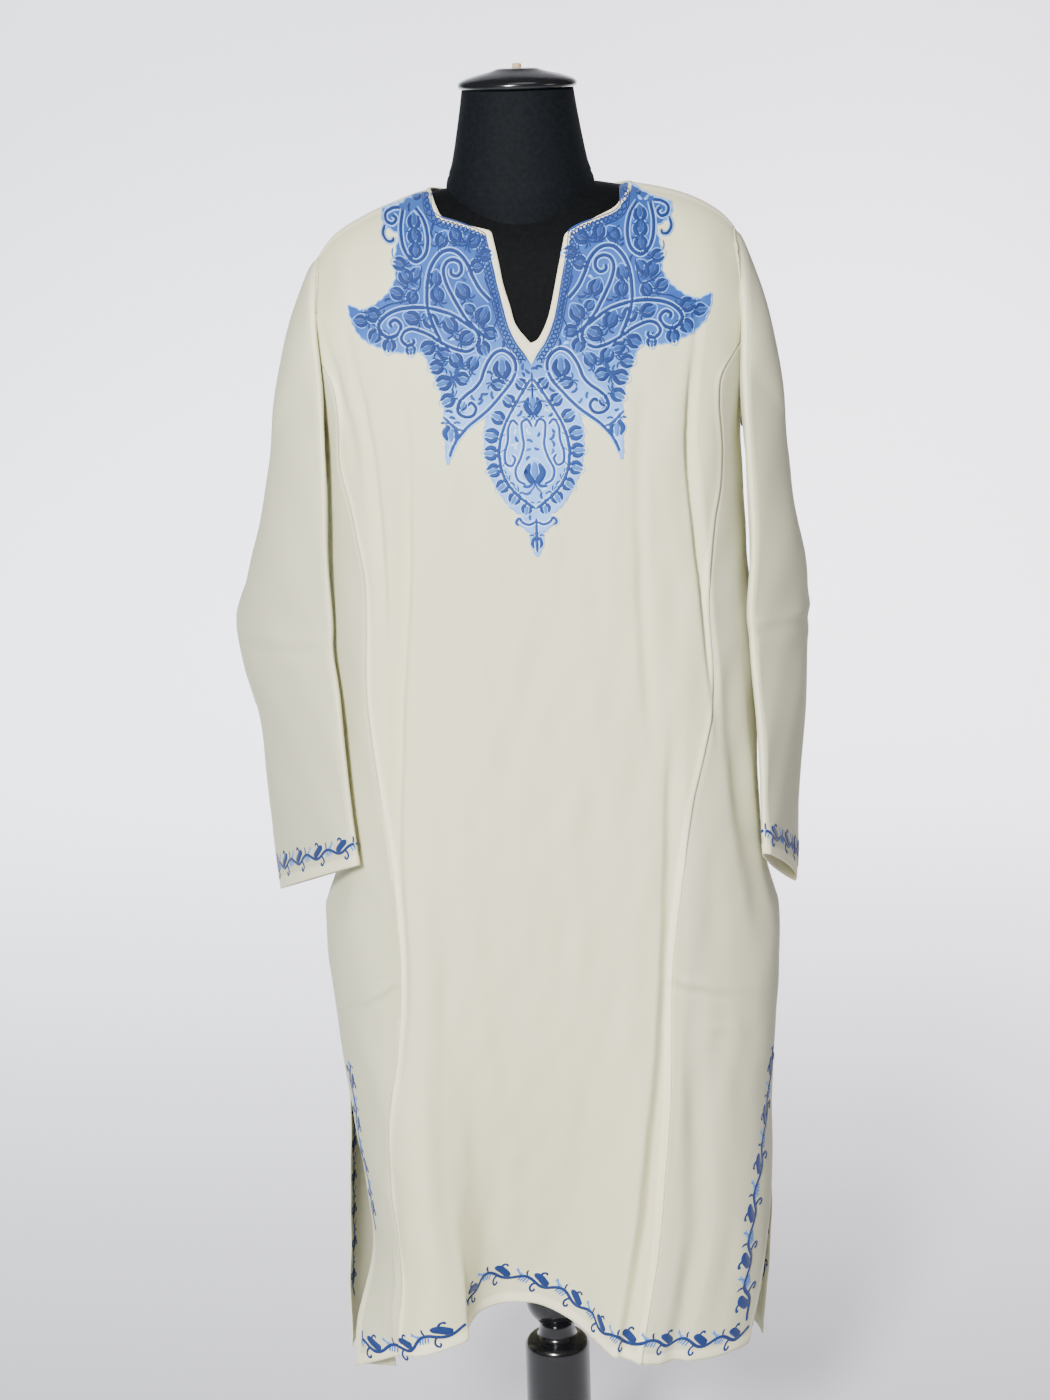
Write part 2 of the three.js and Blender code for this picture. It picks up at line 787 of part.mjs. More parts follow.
function backPlaces(z) {
  const left = seamEdgeQ("back", "left", z, 1);
  const right = seamEdgeQ("back", "right", z, 1);
  const neckLeft = qAt("back", backNeck.middle - backNeck.panelHalf, chestRow);
  const neckRight = qAt("back", backNeck.middle + backNeck.panelHalf, chestRow);
  const neck = [];
  for (let i = 1; i < neckSteps; i += 1) {
    neck.push(lerp(neckLeft, neckRight, (1 - Math.cos((Math.PI * i) / neckSteps)) / 2));
  }
  return [...spread([left, neckLeft], [sideSteps]), ...neck, ...spread([neckRight, right], [sideSteps])];
}

function backPanelQuads() {
  const lower = panelRows("back", backRows, backPlaces);
  const chest = lower[0].map((vertex) => vertex.point.x);
  const last = chest.length - 1;
  const upper = backTopShares.slice(0, -1).map((share) => chest.map((chestX) => {
    const end = chestX < centreX ? chest[0] : chest[last];
    const armholeDrop = share * (armholeZ(Math.sign(end), 0) - chestRow);
    const armhole = armholeX(Math.sign(end), armholeZ(Math.sign(end), armholeDrop));
    const near = Math.max(0, 2 * Math.abs(chestX / end) - 1.1) / 0.9;
    const x = chestX + (armhole - end) * near;
    const neckDrop = backNeckDrop(x, backNeck.panelHalf, backNeck.panelDrop);
    const drop = neckDrop + share * (shoulderHeight(x) - neckDrop - chestRow);
    const vertex = dropVertex("back", x, lerp(drop, armholeDrop, near));
    if (share === 0 && neckDrop === 0) vertex.point.y = seamGap / 2;
    return vertex;
  }));
  return gridQuads([...upper, ...lower]);
}

// The outer edge of a gore: the armhole above the armpit, the side seam or slit below it.
function goreEdgeQ(side, sign, z) {
  if (z > armpitZ) return qAt(side, armholeX(sign, z), z);
  return sign * (1 - gapQ(side, sign * 0.9999, z));
}

// Beyond the slit edge the cloth curls under and then runs straight inward, lower than the hem.
function turnedVertex(distance, z) {
  const edge = clothVertex("front", -1, z);
  const along = clothPoint("front", -1, z).sub(clothPoint("front", -0.99, z)).setZ(0).normalize();
  const inward = edge.out.clone().negate().setZ(0).normalize();
  const angle = Math.min(distance / turnRadius, turnAngle);
  const straight = Math.max(0, distance - turnRadius * turnAngle);
  const heading = along.clone().multiplyScalar(Math.cos(angle)).addScaledVector(inward, Math.sin(angle));
  const point = edge.point
    .addScaledVector(along, turnRadius * Math.sin(angle))
    .addScaledVector(inward, turnRadius * (1 - Math.cos(angle)))
    .addScaledVector(heading, straight);
  const out = along.multiplyScalar(Math.sin(angle)).addScaledVector(inward, -Math.cos(angle));
  return { point, out };
}

// The last stations of the left front gore: short steps before the edge where it is plain, and steps
// round and past the turn where it is turned under.
function turnedStations(z) {
  const length = column(turnedRows, "length", z);
  const turn = turnRadius * turnAngle;
  const plain = [-8, -6, -4, -2, 0];
  const curled = [0, turn / 3, (2 * turn) / 3, turn, length];
  const share = Math.min(1, (3 * length) / turnedLength);
  return plain.map((distance, i) => lerp(distance, Math.min(curled[i], length), share));
}

// One row of a gore without a turned edge.
function plainGoreRow(side, seam, edge, row) {
  return goreShares.map((share) => {
    const q = lerp(seam, edge, share);
    return clothVertex(side, q, rowHeight(side, row, q));
  });
}

// One row of the left front gore, with its slit edge turned under.
function turnedGoreRow(seam, edge, row) {
  const stations = turnedStations(row);
  const perQ = clothPoint("front", -1, row).distanceTo(clothPoint("front", -0.99, row)) / 0.01;
  const flat = edge - Math.min(0, stations[0] - 2) / perQ;
  const vertices = turnedShares.map((share) => {
    const q = lerp(seam, flat, share);
    return clothVertex("front", q, rowHeight("front", row, q));
  });
  for (const station of stations) {
    if (station <= 0) {
      const q = edge - station / perQ;
      vertices.push(clothVertex("front", q, rowHeight("front", row, q)));
    } else {
      const sink = turnedDrop * lowerShare(row) * (station / turnedLength);
      vertices.push(turnedVertex(station, rowHeight("front", row, -1) - sink));
    }
  }
  return vertices;
}

function goreQuads(side, hand) {
  const sign = hand === "left" ? -1 : 1;
  const turned = side === "front" && hand === "left";
  const rows = (side === "front" ? gridRows : backRows).slice(1).map((row) => {
    const seam = seamEdgeQ(side, hand, row, -1);
    const edge = goreEdgeQ(side, sign, row);
    const vertices = turned ? turnedGoreRow(seam, edge, row) : plainGoreRow(side, seam, edge, row);
    faceAsSeam(side, hand, row, vertices[0]);
    return vertices;
  });
  return gridQuads(rows);
}

function bindingQuads() {
  const stations = [];
  const addFront = (hand, sign, row) => {
    const edge = dropVertex("front", row[`${hand}X`], row[`${hand}Drop`]);
    const panel = dropVertex("front", row[`${hand}X`] + sign * row.across, row[`${hand}Drop`] + row.down);
    const width = edge.point.distanceTo(panel.point);
    panel.point.lerp(edge.point, seamGap / width);
    if (row.leftDrop === 0) {
      edge.point.y = 0;
      panel.point.y = 0;
    }
    stations.push([edge, panel]);
  };
  for (const row of neckRows) addFront("left", -1, row);
  for (const row of neckRows.slice(0, -1).reverse()) addFront("right", 1, row);
  const columns = backPlaces(chestRow).slice(sideSteps + 1, sideSteps + neckSteps).reverse();
  for (const q of columns) {
    const panelX = clothPoint("back", q, chestRow).x;
    const openX = backNeck.middle + ((panelX - backNeck.middle) * backNeck.openHalf) / backNeck.panelHalf;
    const edge = dropVertex("back", openX, backNeckDrop(openX, backNeck.openHalf, backNeck.openDrop));
    const panel = dropVertex("back", panelX, backNeckDrop(panelX, backNeck.panelHalf, backNeck.panelDrop));
    panel.point.lerp(edge.point, seamGap / edge.point.distanceTo(panel.point));
    stations.push([edge, panel]);
  }
  stations.push(stations[0]);
  return gridQuads(stations);
}

// A point of the armhole, going round from the shoulder over the back and under the arm.
function armholePoint(sign, degrees) {
  const share = (1 - Math.cos(degToRad(degrees))) / 2;
  const z = lerp(armholeZ(sign, 0), armpitZ, share);
  const side = degrees <= 180 ? "back" : "front";
  return clothPoint(side, qAt(side, armholeX(sign, z), z), z);
}

function sleeveRing(hand, ring) {
  const sign = hand === "left" ? -1 : 1;
  const rows = sleeveRows[hand];
  if (ring === 0) {
    const beside = new THREE.Vector3(sign * seamGap, 0, 0);
    return sleeveAngles.map((degrees) => armholePoint(sign, degrees).add(beside));
  }
  const row = rows[ring - 1];
  const middleOf = (i) => {
    if (i < 0) return new THREE.Vector3(sign * sleeveRootX, 0, sleeveRootZ);
    const at = rows[Math.min(i, rows.length - 1)];
    const back = new THREE.Vector3(at.backX, at.backY, at.backZ);
    return new THREE.Vector3(at.ridgeX, at.ridgeY, at.ridgeZ).lerp(back, 0.5);
  };
  const ridge = new THREE.Vector3(row.ridgeX, row.ridgeY, row.ridgeZ);
  const back = new THREE.Vector3(row.backX, row.backY, row.backZ);
  const way = middleOf(ring).sub(middleOf(ring - 2)).normalize();
  const across = ridge.clone().sub(back);
  const outward = across.clone().cross(way).multiplyScalar(sign).normalize();
  const middle = ridge.clone().add(back).divideScalar(2);
  return sleeveAngles.map((degrees) => {
    const cosine = Math.cos(degToRad(degrees));
    const sine = Math.sin(degToRad(degrees));
    const swell = (sine > 0 ? row.outer : row.inner) * sine;
    const blunt = ridgeHalfWidth * THREE.MathUtils.clamp(sine * 4, -1, 1) * ((1 + cosine) / 2);
    const point = middle.clone().addScaledVector(across, cosine / 2).addScaledVector(outward, swell + blunt);
    const start = armholePoint(sign, degrees).add(new THREE.Vector3(sign * sleeveRootGap, 0, 0));
    start.lerp(point, row.freed);
    const least = Math.abs(armholeX(sign, start.z)) + sleeveClearance;
    if (start.z > armpitZ - 30 && Math.abs(start.x) < least) start.x = sign * least;
    return start;
  });
}

function sleeveQuads(hand) {
  const rings = [sleeveRing(hand, 0), ...sleeveRows[hand].map((row, i) => sleeveRing(hand, i + 1))];
  const count = sleeveAngles.length;
  const rows = rings.map((ring, r) => ring.map((point, c) => {
    const around = ring[(c + 1) % count].clone().sub(ring[(c + count - 1) % count]);
    const above = rings[Math.max(r - 1, 0)][c];
    const below = rings[Math.min(r + 1, rings.length - 1)][c];
    const out = around.cross(below.clone().sub(above)).multiplyScalar(hand === "left" ? 1 : -1);
    if (r === 0) out.setX(0);
    return { point, out: out.normalize() };
  }));
  return gridQuads(rows, true);
}

// The dress form's torso: front and back sheets from the shoulder line to a flat bottom.
function torsoGeometry() {
  const columns = 14;
  const heights = 22;
  const positions = [];
  const index = [];
  const place = (side, step, row) => {
    const angle = (Math.PI / 2) * ((2 * step) / columns - 1);
    const topX = formHalf * Math.sin(angle) + centreX;
    const topZ = shoulderHeight(topX) - formClearance;
    const z = lerp(topZ, formBottomZ, (row / heights) ** 1.6);
    const half = column(formRows, "half", z);
    const x = half * Math.sin(angle) + centreX;
    const fullness = 1 + formSquare * Math.sin(angle) ** 2;
    const depth = column(formRows, side, z) * Math.cos(angle) * fullness * shoulderRoll(side, topZ - z);
    return [x, side === "front" ? -depth : depth, z];
  };
  for (const side of ["front", "back"]) {
    const start = positions.length / 3;
    for (let row = 0; row <= heights; row += 1) {
      for (let step = 0; step <= columns; step += 1) positions.push(...place(side, step, row));
    }
    for (let row = 0; row < heights; row += 1) {
      for (let step = 0; step < columns; step += 1) {
        const a = start + row * (columns + 1) + step;
        const b = a + columns + 1;
        if (side === "front") index.push(a, b, b + 1, a, b + 1, a + 1);
        else index.push(a, b + 1, b, a, a + 1, b + 1);
      }
    }
  }
  const frontFoot = heights * (columns + 1);
  const backFoot = frontFoot + (heights + 1) * (columns + 1);
  for (let step = 0; step < columns; step += 1) {
    index.push(frontFoot + step, backFoot + step + 1, frontFoot + step + 1);
    index.push(frontFoot + step, backFoot + step, backFoot + step + 1);
  }
  const geometry = new THREE.BufferGeometry();
  geometry.setAttribute("position", new THREE.Float32BufferAttribute(positions, 3));
  geometry.setIndex(index);
  return geometry;
}

// A turned piece from radii by height, closed on the axis at both ends.
function turnedGeometry(profile, segments = 40) {
  const points = profile.map(([radius, z]) => new THREE.Vector2(radius, z));
  return new THREE.LatheGeometry(points, segments).rotateX(Math.PI / 2);
}

function solidOf(geometry) {
  const bare = geometry.clone();
  bare.deleteAttribute("normal");
  bare.deleteAttribute("uv");
  const merged = mergeVertices(bare, 0.001);
  const kept = [];
  for (let i = 0; i < merged.index.count; i += 3) {
    const face = [0, 1, 2].map((k) => merged.index.getX(i + k));
    if (new Set(face).size === 3) kept.push(...face);
  }
  return new wasm.Manifold(new wasm.Mesh({
    numProp: 3,
    vertProperties: new Float32Array(merged.attributes.position.array),
    triVerts: new Uint32Array(kept),
  }));
}

function geometryOf(solid) {
  const mesh = solid.getMesh();
  const geometry = new THREE.BufferGeometry();
  geometry.setAttribute("position", new THREE.Float32BufferAttribute(mesh.vertProperties, 3));
  geometry.setIndex(Array.from(mesh.triVerts));
  return geometry;
}

function neckGeometry() {
  const profile = [[0, neckProfile[neckProfile.length - 1].z]];
  for (const { z, radius } of [...neckProfile].reverse()) profile.push([radius, z]);
  profile.push([0, neckTopZ]);
  return turnedGeometry(profile, 36).scale(1, neckFlatten, 1).translate(0, neckOffsetY, 0);
}

function capGeometry() {
  const foot = neckTopZ + seamGap;
  return turnedGeometry([
    [0, foot], [capRimRadius - 6, foot], [capRimRadius - 1.5, foot + 1], [capRimRadius, foot + 3],
    [capRimRadius - 1, foot + 6], [capRimRadius - 6, foot + 9], [capRimRadius - 16, foot + 12],
    [22, capTopZ - 1.5], [18, capTopZ], [0, capTopZ],
  ]).translate(0, neckOffsetY, 0);
}

function pegGeometry() {
  const foot = capTopZ + seamGap;
  const top = foot + pegHeight;
  const profile = [[0, foot], [pegRadius, foot], [pegRadius, top - 1], [pegRadius - 1, top], [0, top]];
  return turnedGeometry(profile, 16).translate(0, neckOffsetY, 0);
}

// Pole, ball and column in one turning, from the base up to the flange under the torso.
function postGeometry() {
  const foot = baseThickness + seamGap;
  const top = formBottomZ - seamGap;
  const profile = [
    [0, foot], [footRadius, foot], [footRadius, foot + 8], [columnRadius, foot + 14],
    [columnRadius, columnTopZ - 9], [columnRadius - 2, columnTopZ - 4], [columnRadius - 7, columnTopZ],
    [20, columnTopZ + 2], [18, columnTopZ + 9],
  ];
  for (const degrees of [-58, -44, -30, -16, -2, 12, 26, 40, 54]) {
    const angle = degToRad(degrees);
    profile.push([ballRadius * Math.cos(angle), ballZ + ballRadius * Math.sin(angle)]);
  }
  profile.push([poleRadius, ballZ + ballRadius + 1], [poleRadius, top - 10], [flangeRadius, top - 6]);
  profile.push([flangeRadius, top], [0, top]);
  return turnedGeometry(profile);
}

function baseGeometry() {
  return turnedGeometry([
    [0, 0], [baseRadius - 3, 0], [baseRadius, 4], [baseRadius - 2, 12], [baseRadius - 20, 20],
    [70, baseThickness], [0, baseThickness],
  ], 48);
}

const pheran = new THREE.Group();

function addPiece(name, geometry, finish) {
  const mesh = new THREE.Mesh(geometry, new THREE.MeshStandardMaterial(finish));
  mesh.name = name;
  pheran.add(mesh);
}

addPiece("front_panel", wallGeometry(frontPanelQuads(), 0, clothWall), cloth);
addPiece("back_panel", wallGeometry(backPanelQuads(), 0, clothWall), cloth);
for (const hand of ["left", "right"]) {
  addPiece(`front_gore_${hand}`, wallGeometry(goreQuads("front", hand), 0, clothWall), cloth);
  addPiece(`back_gore_${hand}`, wallGeometry(goreQuads("back", hand), 0, clothWall), cloth);
  addPiece(`sleeve_${hand}`, wallGeometry(sleeveQuads(hand), 0, clothWall), cloth);
}
addPiece("neck_binding", wallGeometry(bindingQuads(), bindingLift, bindingWall), binding);
addPiece("form_torso", geometryOf(solidOf(torsoGeometry()).add(solidOf(neckGeometry()))), formCover);
addPiece("neck_cap", capGeometry(), gloss);
addPiece("cap_peg", pegGeometry(), pegWood);
addPiece("post", postGeometry(), gloss);
addPiece("base", baseGeometry(), gloss);

// The object stands on the middle of its own box.
const box = new THREE.Box3().setFromObject(pheran);
pheran.position.set(-(box.min.x + box.max.x) / 2, -(box.min.y + box.max.y) / 2, 0);

export default pheran;
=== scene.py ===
import math
import random

import bmesh
import bpy
import numpy as np
from mathutils import Matrix, Vector


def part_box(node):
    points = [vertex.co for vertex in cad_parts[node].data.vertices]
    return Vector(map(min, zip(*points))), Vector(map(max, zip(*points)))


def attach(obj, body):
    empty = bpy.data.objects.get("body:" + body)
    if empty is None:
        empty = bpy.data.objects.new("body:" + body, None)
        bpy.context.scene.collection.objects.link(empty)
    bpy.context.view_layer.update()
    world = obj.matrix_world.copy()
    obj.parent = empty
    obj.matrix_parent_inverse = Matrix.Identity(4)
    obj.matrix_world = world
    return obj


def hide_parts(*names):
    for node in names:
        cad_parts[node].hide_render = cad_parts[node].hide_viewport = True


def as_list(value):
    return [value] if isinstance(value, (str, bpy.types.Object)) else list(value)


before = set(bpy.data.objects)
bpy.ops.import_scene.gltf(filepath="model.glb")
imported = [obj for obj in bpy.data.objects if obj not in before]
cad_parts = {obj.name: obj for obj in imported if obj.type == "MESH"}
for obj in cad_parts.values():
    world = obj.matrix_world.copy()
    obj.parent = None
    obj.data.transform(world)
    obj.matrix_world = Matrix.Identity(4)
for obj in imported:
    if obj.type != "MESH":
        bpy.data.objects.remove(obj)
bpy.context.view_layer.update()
print("frame loaded")

mm = 0.001
baseLow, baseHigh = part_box("base")
standX = (baseLow.x + baseHigh.x) / 2  # the pole's axis; the dress swings a little to its left


def srgb(hexColor):
    # sRGB hex to the linear values that shaders use
    channels = [int(hexColor[i:i + 2], 16) / 255 for i in (1, 3, 5)]
    linear = [c / 12.92 if c <= 0.04045 else ((c + 0.055) / 1.055) ** 2.4 for c in channels]
    return (*linear, 1.0)


# Camera
cameraPlan = {
    "distance": 2.40,
    "height": 1.5845,
    "aside": -0.0114,  # from the pole's axis
    "pitchDown": 15.2,
    "roll": -1.9,
    "lens": 66.86,
}
cameraData = bpy.data.cameras.new("camera")
cameraData.lens = cameraPlan["lens"]
cameraData.sensor_width = 36.0
camera = bpy.data.objects.new("camera", cameraData)
bpy.context.collection.objects.link(camera)
camera.matrix_world = (
    Matrix.Translation((standX + cameraPlan["aside"], -cameraPlan["distance"], cameraPlan["height"]))
    @ Matrix.Rotation(math.radians(90 - cameraPlan["pitchDown"]), 4, "X")
    @ Matrix.Rotation(math.radians(cameraPlan["roll"]), 4, "Z")
)
bpy.context.scene.camera = camera
print("camera placed")


# Gives a node's inputs their values, or the outputs of other nodes.
def setInputs(tree, node, inputs):
    for name, value in inputs.items():
        if isinstance(value, bpy.types.NodeSocket):
            tree.links.new(value, node.inputs[name])
        else:
            node.inputs[name].default_value = value


# Adds a node with its inputs and settings; stops are a colour ramp's own.
def addNode(tree, kind, inputs=None, stops=(), **settings):
    node = tree.nodes.new("ShaderNode" + kind)
    for name, value in settings.items():
        setattr(node, name, value)
    setInputs(tree, node, inputs or {})
    if stops:
        elements = node.color_ramp.elements
        while len(elements) < len(stops):
            elements.new(0.5)
        for element, (position, color) in zip(elements, stops):
            element.position = position
            element.color = srgb(color)
    return node


def newMaterial(name):
    material = bpy.data.materials.new(name)
    material.use_nodes = True
    return material, material.node_tree, material.node_tree.nodes["Principled BSDF"]


# The hang of the dress, in millimetres. The first column of a table is the one it is read by, from its
# highest value down; the tables of the neck and of the sleeves are read by the row's number instead.
def makeTable(names, rows):
    columns = np.array(rows, dtype=float).T
    return {"keys": -columns[0], **dict(zip(names.split(), columns))}


bodyNames = "z left right front leftTurn rightTurn leftSquare rightSquare backLeft backRight back"
bodyRows = makeTable(bodyNames, [
    [1430, 201, 209, 62, 90, 90, 0.36, 0.36, 201, 209, 90],
    [1385, 201, 209, 72, 90, 90, 0.36, 0.36, 201, 209, 90],
    [1350, 201, 209, 83, 90, 90, 0.36, 0.36, 201, 209, 91],
    [1300, 201, 209, 99, 90, 90, 0.36, 0.36, 201, 209, 93],
    [1250, 197, 205, 113, 90, 90, 0.36, 0.36, 197, 205, 95],
    [1220, 193, 201, 119, 90, 90, 0.36, 0.36, 193, 201, 96],
    [1190, 190, 198, 123, 90, 90, 0.36, 0.36, 190, 198, 96],
    [1100, 191, 201, 125, 90, 90, 0.38, 0.36, 191, 201, 98],
    [1000, 196, 208, 124, 90, 90, 0.40, 0.38, 196, 208, 100],
    [900, 203, 216, 124, 90, 90, 0.44, 0.40, 203, 216, 103],
    [800, 210, 224, 124, 90, 90, 0.50, 0.44, 210, 224, 107],
    [700, 212, 231, 122, 90, 90, 0.58, 0.48, 212, 231, 110],
    [610, 206, 227, 120, 90, 90, 0.68, 0.54, 206, 227, 110],
    [550, 199, 222, 118, 90, 90, 0.78, 0.60, 199, 222, 110],
    [440, 184, 220, 114, 82, 84, 0.86, 0.66, 203, 221, 108],
    [385, 181, 213, 114, 76, 78, 0.80, 0.66, 206, 221, 106],
    [320, 197, 199, 116, 66, 68, 0.62, 0.60, 209, 217, 104],
    [250, 199, 180, 118, 60, 60, 0.50, 0.50, 210, 210, 102],
])
shoulderRows = makeTable("out left right", [
    [215, 1270, 1275], [203, 1318, 1334], [196, 1345, 1361], [186, 1364, 1377], [172, 1379, 1390],
    [150, 1392, 1402], [125, 1403, 1410], [90, 1415, 1417], [60, 1421, 1422], [0, 1426, 1426],
])
armholeRows = makeTable("z x", [
    [1366, 184], [1330, 187], [1270, 189], [1190, 190.5],
])
frontHemRows = makeTable("q z", [
    [1, 284], [0.70, 286], [0.42, 286], [0.26, 292], [0.14, 306], [-0.02, 327], [-0.18, 330],
    [-0.32, 326], [-0.48, 314], [-0.70, 300], [-1, 275],
])
turnedRows = makeTable("z length", [
    [415, 0], [380, 14], [340, 30], [300, 44], [250, 52],
])
formRows = makeTable("z half front back", [
    [1430, 170, 59.2, 87.4], [1385, 170, 69, 87.2], [1350, 170, 79.7, 87.6], [1300, 168, 94.2, 88.6],
    [1250, 163, 104, 88], [1190, 158, 108, 87], [1120, 150, 102, 84], [1040, 140, 92, 80],
    [960, 142, 94, 84], [860, 160, 100, 94], [780, 166, 100, 98], [690, 158, 94, 92],
])
neckProfile = makeTable("z radius", [
    [1502, 50.5], [1485, 53], [1459, 57.5], [1437, 62], [1427, 65.5], [1418, 67.5], [1405, 68],
    [1380, 66],
])
neckRows = makeTable("leftX leftDrop rightX rightDrop across down armhole", [
    [-82, 0, 98, 0, 5, 0, 0], [-81, 1.5, 97, 1.5, 5, 0, 1.5], [-79.5, 6, 95, 6, 5, 0.5, 6],
    [-76.5, 14, 90, 13, 4.5, 2, 13], [-70, 25, 81, 22.5, 3.5, 4, 22], [-52, 33, 60, 34, 1, 5, 30],
    [-28, 41.5, 38, 45.5, 7, 5, 38], [-23, 65, 30, 80, 7.5, 0, 46], [-19, 87, 25, 102, 7.5, 0, 54],
    [-14, 105, 20, 119.5, 7.5, 1, 62], [-9, 123, 12, 135, 7.5, 2, 70], [4, 141, 4, 141, 0, 10, 78],
])
# Folds and hollows of the hang: rows of height, place, depth, width before and after it, and lean. Places
# and widths are in q, which runs from -1 at the left side seam to 1 at the right one.
sleeveHollows = {
    "hollow under the left sleeve": [
        [1020, -1, 0, 0.4, 0.4], [960, -1, 4, 0.4, 0.4], [900, -1, 11, 0.4, 0.42],
        [840, -1, 17, 0.4, 0.46], [790, -1, 18, 0.4, 0.46], [735, -1, 0, 0.4, 0.42],
    ],
    "hollow under the right sleeve": [
        [980, 1, 0, 0.4, 0.4], [920, 1, 5, 0.4, 0.4], [860, 1, 9, 0.4, 0.4], [800, 1, 11, 0.4, 0.4],
        [770, 1, 9, 0.4, 0.4], [725, 1, 0, 0.4, 0.4],
    ],
}
frontFolds = {
    **sleeveHollows,
    "left inner crease": [
        [1320, -0.60, 0, 0.04, 0.04], [1220, -0.545, 4, 0.04, 0.035], [1140, -0.525, 5, 0.04, 0.035],
        [1060, -0.505, 4, 0.04, 0.035], [990, -0.495, 0, 0.04, 0.035],
    ],
    "left plane edge": [
        [1260, -0.37, 0, 0.05, 0.03], [1180, -0.395, 5, 0.06, 0.03], [1060, -0.412, 8, 0.07, 0.03],
        [960, -0.436, 8, 0.07, 0.03], [820, -0.447, 7, 0.07, 0.03], [720, -0.43, 8, 0.08, 0.03],
        [650, -0.46, 5, 0.08, 0.04], [580, -0.52, 0, 0.08, 0.05],
    ],
    "left armhole trough": [
        [1310, -0.73, 0, 0.04, 0.05], [1250, -0.67, 3, 0.04, 0.05], [1170, -0.62, 0, 0.04, 0.05],
    ],
    "left hem lobe": [
        [860, -0.36, 0, 0.08, 0.09], [700, -0.37, -4, 0.12, 0.09], [600, -0.40, -8, 0.16, 0.08],
        [500, -0.45, -11, 0.20, 0.09], [400, -0.50, -12, 0.22, 0.12], [250, -0.52, -13, 0.25, 0.14],
    ],
    "left hem lobe lip": [
        [430, -0.40, 0, 0.10, 0.06, 0], [360, -0.40, -1, 0.10, 0.05, 5],
        [290, -0.395, -2, 0.10, 0.05, 9], [250, -0.395, -2, 0.10, 0.05, 10],
    ],
    "centre hem hollow": [
        [800, -0.10, 0, 0.22, 0.30, 0], [650, -0.08, 4, 0.26, 0.33, -1],
        [550, -0.07, 12, 0.29, 0.34, -3], [450, -0.07, 28, 0.32, 0.33, -7],
        [360, -0.06, 48, 0.34, 0.31, -12], [250, -0.06, 66, 0.36, 0.30, -16],
    ],
    "right centre facet": [
        [1250, 0.34, 0, 0.03, 0.03], [1150, 0.325, 2.5, 0.03, 0.03], [1000, 0.317, 3, 0.03, 0.03],
        [900, 0.326, 0, 0.03, 0.03],
    ],
    "right hem lobe edge": [
        [950, 0.40, 0, 0.03, 0.05], [865, 0.37, 5, 0.03, 0.05], [768, 0.35, 7, 0.035, 0.05],
        [689, 0.33, 9, 0.035, 0.055], [600, 0.315, 11, 0.035, 0.06], [495, 0.295, 14, 0.04, 0.07],
        [420, 0.285, 14, 0.045, 0.075], [330, 0.275, 9, 0.05, 0.08], [250, 0.27, 4, 0.05, 0.08],
    ],
    "right upper trough": [
        [1330, 0.54, 0, 0.03, 0.03], [1250, 0.51, 4, 0.025, 0.035], [1190, 0.515, 7, 0.025, 0.035],
        [1120, 0.53, 7, 0.025, 0.04], [1030, 0.545, 6, 0.025, 0.04], [960, 0.56, 4, 0.025, 0.04],
        [900, 0.56, 0, 0.025, 0.04],
    ],
    "right low trough": [
        [660, 0.41, 0, 0.05, 0.05], [550, 0.43, 6, 0.06, 0.06], [420, 0.47, 8, 0.07, 0.07],
        [250, 0.52, 7, 0.08, 0.08],
    ],
    "right side hollow": [
        [1000, 0.66, 0, 0.08, 0.08], [900, 0.65, 6, 0.08, 0.10], [800, 0.68, 6, 0.09, 0.10],
        [700, 0.72, 0, 0.09, 0.10],
    ],
}
backFolds = {
    **sleeveHollows,
    "back left trough": [
        [1280, -0.52, 0, 0.06, 0.05], [1150, -0.47, 5, 0.07, 0.05], [900, -0.44, 6, 0.08, 0.06],
        [600, -0.46, 8, 0.10, 0.08], [250, -0.48, 14, 0.13, 0.11],
    ],
    "back middle trough": [
        [1180, 0.04, 0, 0.06, 0.06], [1000, 0.05, 3, 0.07, 0.06], [600, 0.02, 6, 0.11, 0.10],
        [250, 0.00, 13, 0.15, 0.14],
    ],
    "back right trough": [
        [1300, 0.50, 0, 0.05, 0.06], [1120, 0.49, 6, 0.05, 0.07], [850, 0.44, 5, 0.06, 0.08],
        [600, 0.43, 9, 0.08, 0.10], [250, 0.45, 15, 0.11, 0.12],
    ],
}
flatFolds = {"centre hem hollow"}  # folds with a broad level floor
foldTables = {
    side: {
        name: makeTable("z at depth before after lean", [row + [0] * (6 - len(row)) for row in rows])
        for name, rows in folds.items()
    }
    for side, folds in (("front", frontFolds), ("back", backFolds))
}
# where the panels end and the gores begin, all the way down
seams = {
    ("front", "left"): makeTable("z q", [
        [1278, -0.797], [1254, -0.715], [1228, -0.70], [1180, -0.73], [1138, -0.664], [1084, -0.602],
        [1040, -0.588], [963, -0.578], [888, -0.524], [842, -0.495], [803, -0.475], [754, -0.46],
        [699, -0.453], [620, -0.49], [550, -0.56], [450, -0.68], [250, -0.70],
    ]),
    ("front", "right"): makeTable("z q", [
        [1280, 0.797], [1253, 0.655], [1227, 0.645], [1190, 0.68], [1154, 0.67], [1119, 0.623],
        [1083, 0.589], [1047, 0.571], [962, 0.566], [907, 0.502], [852, 0.437], [747, 0.369],
        [683, 0.345], [565, 0.346], [461, 0.335], [250, 0.355],
    ]),
    ("back", "left"): makeTable("z q", [
        [1278, -0.797], [1250, -0.71], [1180, -0.69], [1080, -0.62], [900, -0.54], [700, -0.49],
        [250, -0.50],
    ]),
    ("back", "right"): makeTable("z q", [
        [1280, 0.797], [1250, 0.69], [1180, 0.67], [1080, 0.60], [900, 0.52], [700, 0.46], [250, 0.47],
    ]),
}
